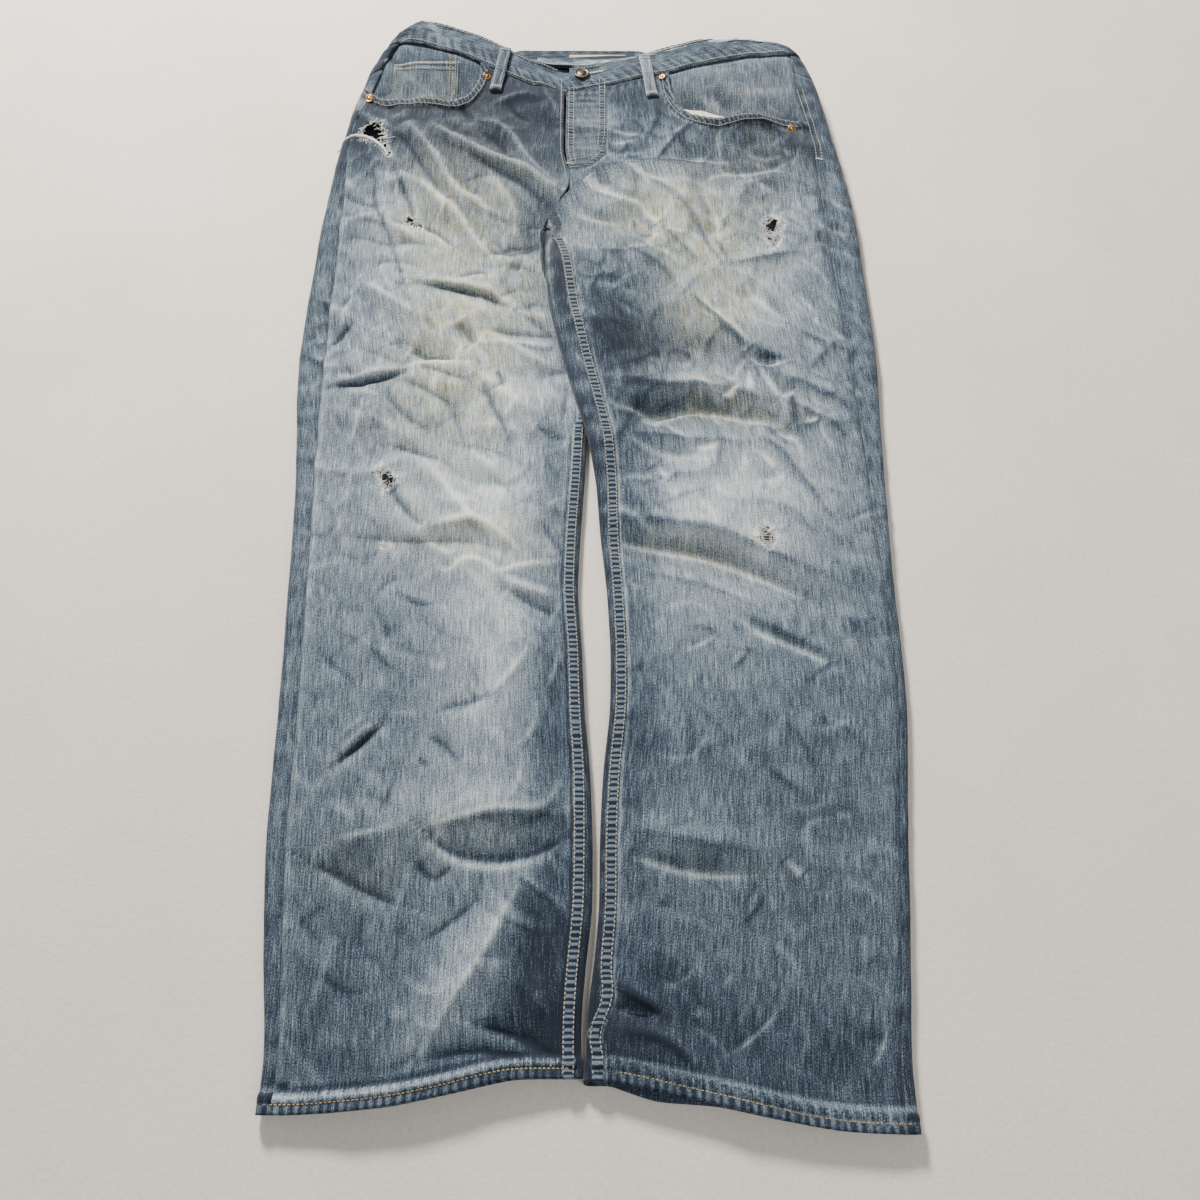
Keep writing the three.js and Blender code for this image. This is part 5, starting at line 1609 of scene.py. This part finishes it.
def stitch_row(points, surface, pitch=3.6, under=False):
    """Starts, ends and up of the stitches along a polyline on a surface."""
    points, _ = along(rounded(points), pitch)
    starts, ends = points[:-1], mix(points[:-1], points[1:], STITCHED)
    p, q = surface(starts[:, 0], starts[:, 1]), surface(ends[:, 0], ends[:, 1])
    return p, q, np.tile(DOWNWARD if under else UP, (len(p), 1))


def stitches(name, rows, material, radius=0.5):
    """One object for all the stitches of a kind."""
    starts, ends, up = (np.concatenate(part) for part in zip(*rows))
    obj = mesh_object(name, *capsules(starts, ends, up, radius))
    link(obj, material)


def on_top(side, lift=0.75, front=True):
    def surface(x, y):
        points = top_point(side, x, y, front)
        points[..., 2] += lift
        return points
    return surface


def on_band(x, y):
    return np.stack([x, y, front_height(x, y) + BAND / 2 + 0.35], -1)


def band_row(level, part, start, end):
    """A row of stitches along the waistband at one level."""
    fine = band_points(np.full(400, level), part, np.linspace(start, end, 400))
    run = np.r_[0, np.cumsum(np.linalg.norm(np.diff(fine, axis=0), axis=1))]
    at = np.arange(0, run[-1], BAND_PITCH)
    points = np.stack([np.interp(at, run, fine[:, k]) for k in range(3)], 1) + (0, 0, BAND / 2 + 0.5)
    return points[:-1], mix(points[:-1], points[1:], STITCHED), np.tile(UP, (len(points) - 1, 1))


def down_line(line, offset, low_y, high_y):
    """Points along a line that runs down a leg."""
    y = np.arange(low_y, high_y, 12.0)
    return np.stack([line(y) + offset, y], 1)


HEM_SPAN = (14, 238)  # from the fly's line to the ends of a hem's stitches


def hem_line(side, offset, back=False):
    low_x, high_x = sorted(side.sign * edge for edge in HEM_SPAN)
    x = np.arange(low_x, high_x, 9.0)
    return np.stack([x, (side.hem_back(x) if back else side.hem_front(x)) + offset], 1)


def offset_curve(points, distance):
    """A rounded polyline moved sideways."""
    points = rounded(points)
    way = np.gradient(points, axis=0)
    way /= np.linalg.norm(way, axis=1, keepdims=True)
    return points + distance * np.stack([-way[:, 1], way[:, 0]], 1)


INSEAM_SHOWS = {-1: 628, 1: CROTCH - 12}  # up to this level
OUTSEAM_STITCHED = {-1: ((1.4, 5.6), 985), 1: ((1.6, 7.2), 952)}  # offsets of its rows and where they start


def ivory_rows():
    """Ivory stitches on the seams, pocket lips, fly, waistband and front belt loops."""
    rows = []
    for side in SIDES:
        for offset in (-3.7, 3.7):
            top = on_top(side, 0.7)
            line = down_line(side.inseam, side.sign * offset, 52, INSEAM_SHOWS[side.sign])
            rows.append(stitch_row(line, top, 3.4))
        offsets, start = OUTSEAM_STITCHED[side.sign]
        for offset in offsets:
            line = down_line(side.outseam, side.sign * offset, start, 1058)
            rows.append(stitch_row(line, on_top(side, 0.7, False), 3.2))
        for offset in (2.0, 8.0):
            curve = offset_curve(MOUTHS[side.sign], -offset)
            x, y = curve.T
            inside = side.sign * x < side.sign * side.outseam(y) - 3
            curve = curve[(y < waist_front(x) - 2) & inside]
            rows.append(stitch_row(curve, on_top(side, 1.1), 2.9))
    fly = on_top(RIGHT, 0.75)
    rows.append(stitch_row(down_line(fly_edge, -4.2, 925, 1072), on_top(LEFT, 0.75), 3.2))
    rows.append(stitch_row(down_line(fly_edge, 4.2, 948, 1066), fly, 3.0))
    rows.append(stitch_row(down_line(fly_edge, 9.4, 950, 1066), fly, 3.0))
    for inset in (1.6, 7.4):
        curve = np.array([(45, 1066), (45, 1030), (45, 985), (41, 965), (28, 950), (8, 945)], float)
        curve[:, 0] += fly_edge(curve[:, 1]) - inset
        curve[-2:, 1] += 0.8 * inset
        rows.append(stitch_row(curve, fly, 3.0))
    for across in (3.0, BAND_WIDTH - 4.0):
        rows += [band_row(WAIST + across, "right", 0.01, 0.99), band_row(WAIST + across, "left", 0.01, 0.8)]
    for name in FRONT_LOOPS:
        for across in (0.2, 0.8):
            def surface(x, y, across=across, name=name):
                points = loop_surface(name, across, (y - 1000) / 100)
                points[..., 2] += 0.9
                return points
            rows.append(stitch_row([(0, 1002), (0, 1098)], surface, 5.5))
    return rows


def bar_tack(surface, start, end, count=16, width=2.6):
    """A dense bar of short stitches from start to end."""
    t = np.linspace(0, 1, count)[:, None]
    middle = mix(np.array(start, float), np.array(end, float), t)
    way = np.array(end, float) - start
    side_way = np.array([-way[1], way[0]]) / np.linalg.norm(way) * width / 2
    a, b = middle - side_way, middle + side_way
    return surface(a[:, 0], a[:, 1]), surface(b[:, 0], b[:, 1]), np.tile(UP, (count, 1))


LOOP_TACKS = 11  # stitches across the end of a belt loop


def tack_rows():
    """Bar tacks at the fly, the right outseam, the buttonhole and the front belt loops."""
    tack_x = RIGHT.outseam(950)
    rows = [bar_tack(on_top(RIGHT, 0.9), (-35.5, 947), (-28, 945), 9),
            bar_tack(on_top(RIGHT, 0.9, False), (tack_x + 1, 950), (tack_x + 8, 949), 9),
            bar_tack(on_band, (-12, 1076), (3, 1079), 18, 3.0)]
    for name in FRONT_LOOPS:
        for v in (0.06, 0.93):
            def surface(x, y, name=name):
                points = loop_surface(name, x, y)
                points[..., 2] += 1.6
                return points
            starts, ends = (np.stack([surface(u, v + way) for u in np.linspace(0.12, 0.88, LOOP_TACKS)])
                            for way in (-0.02, 0.02))
            rows.append((starts, ends, np.tile(UP, (LOOP_TACKS, 1))))
    return rows


def tan_rows():
    """Tan stitches on the hems and the coin pocket."""
    rows = [stitch_row(hem_line(side, HEM_STITCH), on_top(side, 1.6), 3.3) for side in SIDES]
    coin = np.array([(COIN[1] - 3, 1090), (COIN[1] - 3, 1040)])

    def on_coin(x, y):
        return np.stack([x, y, facing_z(LEFT, x, y) + 2 * DENIM + 0.5], -1)

    for offset in (0, -6):
        rows.append(stitch_row(coin + (offset, -4), on_coin, 3.0))
        x = np.linspace(COIN[0] + 3, COIN[1] - 4, 8)
        rows.append(stitch_row(np.stack([x, coin_top(x) - 3 + offset], 1), on_coin, 3.0))
    rows.append(stitch_row([(COIN[0] + 3, 1072), (COIN[0] + 3, 1042)], on_coin, 3.0))
    return rows


def under_rows():
    """Stitches on the side that lies on the floor."""
    rows = []
    for side in SIDES:
        def surface(x, y, side=side):
            return np.stack([x, y, bottom_z(side, x, y) - DENIM / 2 - 0.05], -1)

        def on_pocket(x, y):
            return np.stack([x, y, 0.75 + 0 * x], -1)

        def on_hem(x, y, side=side):
            return np.stack([x, y, bottom_z(side, x, y) - HEM / 2 - 0.05], -1)

        middle = MIDDLE_LOOP[0] + side.sign * POCKET["apart"]
        h, b, p, t = (POCKET[k] for k in ("half", "bottom", "point", "top"))
        for inset in (2.0, 7.0):
            a, c, low = middle - h + inset, middle + h - inset, b + p + inset * 0.6
            edge = [(a, t - 2), (a, low), (middle, b + inset), (c, low), (c, t - 2)]
            for ends in zip(edge[:-1], edge[1:]):
                rows.append(stitch_row(ends, on_pocket, under=True))
        for drop in (2.5, 9.0):
            ends = [(middle - h + 1, t - drop), (middle + h - 1, t - drop)]
            rows.append(stitch_row(ends, on_pocket, under=True))
        rows.append(stitch_row(hem_line(side, HEM_STITCH, True), on_hem, under=True))
        y = np.arange(885, 1010, 10.0)
        rows.append(stitch_row(np.stack([seat(y) + side.sign * 3.5, y], 1), surface, under=True))
        u = np.linspace(0.03, 0.92, 12)
        s = mix(*YOKE_SEAM, u) + 5
        x = mix(seat(np.full(12, 1000.0)), side.fold_start(1030), u)
        rows.append(stitch_row(np.stack([x, level_y(side, x, s, 0)], 1), surface, under=True))
    return rows


# ---- Frayed threads at the rips ----
THREAD_RADIUS = 0.24
THREAD_STEPS = 7  # pieces of a thread, which has one more point
INWARD = 0.6  # how strongly the loose threads head for the rip's middle


def tubes(paths, radius, sides=5):
    """Thin tubes along paths of equal length."""
    paths = np.asarray(paths)
    way = np.gradient(paths, axis=1)
    way /= np.maximum(np.linalg.norm(way, axis=2, keepdims=True), 1e-6)
    right = np.cross(way, (0.13, 0.21, 1.0))
    right /= np.maximum(np.linalg.norm(right, axis=2, keepdims=True), 1e-6)
    up = np.cross(right, way)
    count, steps = paths.shape[:2]
    width = np.broadcast_to(np.asarray(radius, float), (count, steps))[..., None]
    rings = [paths + width * (math.cos(a) * right + math.sin(a) * up)
             for a in 2 * math.pi * np.arange(sides) / sides]
    points = np.stack(rings, 2)
    index = np.arange(count * steps * sides).reshape(count, steps, sides)
    a, b = index[:, :-1], index[:, 1:]
    quads = np.stack([a, np.roll(a, -1, 2), np.roll(b, -1, 2), b], -1).reshape(-1, 4)
    caps = [np.concatenate([index[:, 0, ::-1][:, [0, k, k + 1]] for k in (1, 2, 3)]),
            np.concatenate([index[:, -1][:, [0, k, k + 1]] for k in (1, 2, 3)])]
    return points.reshape(-1, 3), [quads, np.concatenate(caps)]


def thread_paths(side, polygon, count, length, seed):
    """Loose threads that start on a rip's edge and curl across it."""
    draw = np.random.default_rng(seed)
    middle = polygon.mean(0)
    paths = []
    for _ in range(count):
        start = polygon[draw.integers(len(polygon))] + draw.normal(0, 0.5, 2)
        heading = (middle - start) / max(np.linalg.norm(middle - start), 0.5)
        heading = heading * INWARD + draw.normal(0, 0.6, 2)
        heading /= np.linalg.norm(heading)
        curl = draw.normal(0, 0.35)
        reach = length * draw.uniform(0.4, 1.3)
        at = [start]
        for _ in range(THREAD_STEPS):
            c, s = math.cos(curl), math.sin(curl)
            heading = np.array([heading[0] * c - heading[1] * s, heading[0] * s + heading[1] * c])
            at.append(at[-1] + heading * reach / THREAD_STEPS)
        at = np.array(at)
        rise = 0.55 + draw.uniform(0.0, 1.6) * np.linspace(0, 1, THREAD_STEPS + 1)
        z = top_point(side, at[:, 0], at[:, 1])[:, 2] + rise
        paths.append(np.column_stack([at, z]))
    return paths


# The number and length of the loose threads of each rip.
FRAYS = {-1: [(110, 7.0), (60, 6.0), (70, 6.5), (30, 5.0)], 1: [(90, 6.5), (60, 5.5), (120, 6.5)]}
LOOSE = [(184, 874), (188, 884), (190, 892), (187, 882), (185, 874), (182, 866), (180, 860), (178, 852)]
KNEE_STRANDS = 16  # weft threads left across the right knee's rip


def fray_piece(side):
    """Loose threads at the rips, strands across the knee's rip and long ones at the right thigh's hole."""
    polygons = RAGGED[side.sign]
    paths = []
    for k, (polygon, (count, length)) in enumerate(zip(polygons, FRAYS[side.sign])):
        paths += thread_paths(side, polygon, count, length, 40 + k + side.sign)
    if side.sign > 0:
        knee = polygons[2]
        draw = np.random.default_rng(77)
        for y in np.linspace(knee[:, 1].min(), knee[:, 1].max(), KNEE_STRANDS):
            x = np.linspace(knee[:, 0].min() - 2, knee[:, 0].max() + 2, THREAD_STEPS + 1)
            ys = y + draw.normal(0, 0.5, THREAD_STEPS + 1).cumsum() * 0.6
            z = top_point(side, x, ys)[:, 2] + 0.3 + draw.uniform(-0.3, 0.5)
            paths.append(np.column_stack([x, ys, z]))
        x, y = np.array(LOOSE).T * SEEN
        z = top_point(side, x, y)[:, 2] + 1.6
        paths += [np.column_stack([x + shift, y - shift, z]) for shift in (0, 1.1, 2.0)]
    obj = mesh_object(f"frayed_threads_{side.name}", *tubes(paths, THREAD_RADIUS))
    link(obj, FRAY)


ROLL = [(-284, 979), (-281, 985), (-274, 990), (-264, 992), (-254, 990), (-246, 985), (-238, 979),
        (-232, 972), (-227, 963)]


def torn_roll():
    """The torn edge under the hip's rip, rolled into a pale cord of cloth."""
    path, at = along(rounded(np.array(ROLL) * SEEN), 1.6)
    z = top_point(LEFT, path[:, 0], path[:, 1], False)[:, 2] + 1.0
    centre = np.column_stack([path, z])
    radius = 1.9 * np.sin(np.pi * np.clip(at / at[-1], 0.06, 0.94)) ** 0.5 * (1 + 0.22 * bars(at, 5.0, 0.3))
    obj = mesh_object("torn_edge_left", *tubes([centre], radius[None], 10))
    link(obj, FRAY)


# ---- Make everything ----
ON_BOTH_SIDES = (front_piece, back_piece, yoke_piece, facing_piece, bag_piece, back_pocket_piece, fray_piece)
for side in SIDES:
    for piece in ON_BOTH_SIDES:
        piece(side)
coin_piece()
underlap_piece()
waistband_piece()
for name in FRONT_LOOPS:
    front_loop_piece(name)
for name in BACK_LOOPS:
    back_loop_piece(name)
label_piece()
button_piece()
for name in RIVETS:
    rivet_piece(name)
torn_roll()
stitches("stitching_ivory", ivory_rows(), IVORY)
stitches("stitching_tan", tan_rows(), TAN)
stitches("bar_tacks", tack_rows(), IVORY, 0.42)
stitches("stitching_behind", under_rows(), TAN, 0.45)

# ---- What each cloth was cut to: width and length in mm, share of that rectangle, what it rests on ----
CUTS = {
    "front_{}_cloth": ((262, 1085), 0.86, ("back_{}_cloth",)),
    "back_{}_cloth": ((318, 1075), 0.86, ("floor",)),
    "yoke_{}_cloth": ((262, 74), 0.78, ("floor",)),
    "pocket_facing_{}_cloth": ((150, 140), 0.9, ("pocket_bag_{}_lining",)),
    "pocket_bag_left_lining": ((206, 150), 0.85, ("back_left_cloth",)),
    "pocket_bag_right_lining": ((300, 150), 0.85, ("back_right_cloth",)),
    "back_pocket_{}_cloth": ((150, 152), 0.88, ("floor",)),
    "coin_pocket_cloth": ((76, 60), 0.93, ("pocket_facing_left_cloth",)),
    "fly_underlap_cloth": ((58, 104), 0.93, ("back_right_cloth",)),
    "waistband_cloth": ((1020, 40), 1.0, ("yoke_left_cloth", "yoke_right_cloth")),
    "waist_label_cloth": ((68, 26), 1.0, ("waistband_cloth",)),
}


def declare_sheets():
    """Formats the names of what each piece of cloth rests on; nothing is passed on."""
    for pattern, (flat, share, rests) in CUTS.items():
        for name in ("left", "right") if "{}" in pattern else ("",):
            [r.format(name) for r in rests]


# ---- Camera, floor and light ----
CAMERA = np.array([0.0, 0.0, 915.0])
DOWN = 64.3  # degrees below the horizon
LENS, SENSOR = 34.5, 36
camera = bpy.data.objects.new("camera", bpy.data.cameras.new("camera"))
camera.data.lens, camera.data.sensor_width = LENS, SENSOR
camera.location = Vector((CAMERA + ORIGIN) / 1000)
camera.rotation_euler = (math.radians(90 - DOWN), 0, 0)
bpy.context.scene.collection.objects.link(camera)
bpy.context.scene.camera = camera


def floor_piece():
    """The plain pale floor."""
    m = Shading("plain_floor", 0.95)
    place = m.node("ShaderNodeTexCoord").outputs["Object"]
    speck = m.noise(place, (260, 260, 260), 4.0, 0.7)
    cloudy = m.noise(place, (5, 5, 5), 3.0)
    both = m.sum("ADD", m.sum("MULTIPLY", speck, 0.6), m.sum("MULTIPLY", cloudy, 0.4))
    material = m.finish(m.ramp(both, [(0.3, (206, 197, 184)), (0.7, (228, 220, 208))]), speck, 0.5, 0.001)
    bpy.ops.mesh.primitive_plane_add(size=8)
    floor = bpy.context.object
    floor.name = "floor"
    floor.data.materials.append(material)


# Name, place and aim in metres, size, power and colour.
LIGHTS = (
    ("key", (-0.7, 1.7, 1.35), (0, 0.05, 0), 0.5, 138, (1.0, 0.975, 0.94)),
    ("fill", (0.9, -1.4, 2.0), (0, 0, 0), 2.2, 26, (0.97, 0.98, 1.0)),
)
SKY = ((0.93, 0.96, 1.0, 1), 0.36)  # colour and strength


def light(name, place, aim, size, power, colour):
    data = bpy.data.lights.new(name, "AREA")
    data.shape, data.size, data.energy, data.color = "DISK", size, power, colour
    obj = bpy.data.objects.new(name, data)
    obj.location = place
    obj.rotation_euler = (Vector(aim) - Vector(place)).to_track_quat("-Z", "Y").to_euler()
    bpy.context.scene.collection.objects.link(obj)


floor_piece()
for lamp in LIGHTS:
    light(*lamp)
world = bpy.data.worlds.new("world")
world.use_nodes = True
for socket, value in zip(world.node_tree.nodes["Background"].inputs, SKY):
    socket.default_value = value
bpy.context.scene.world = world

declare_sheets()
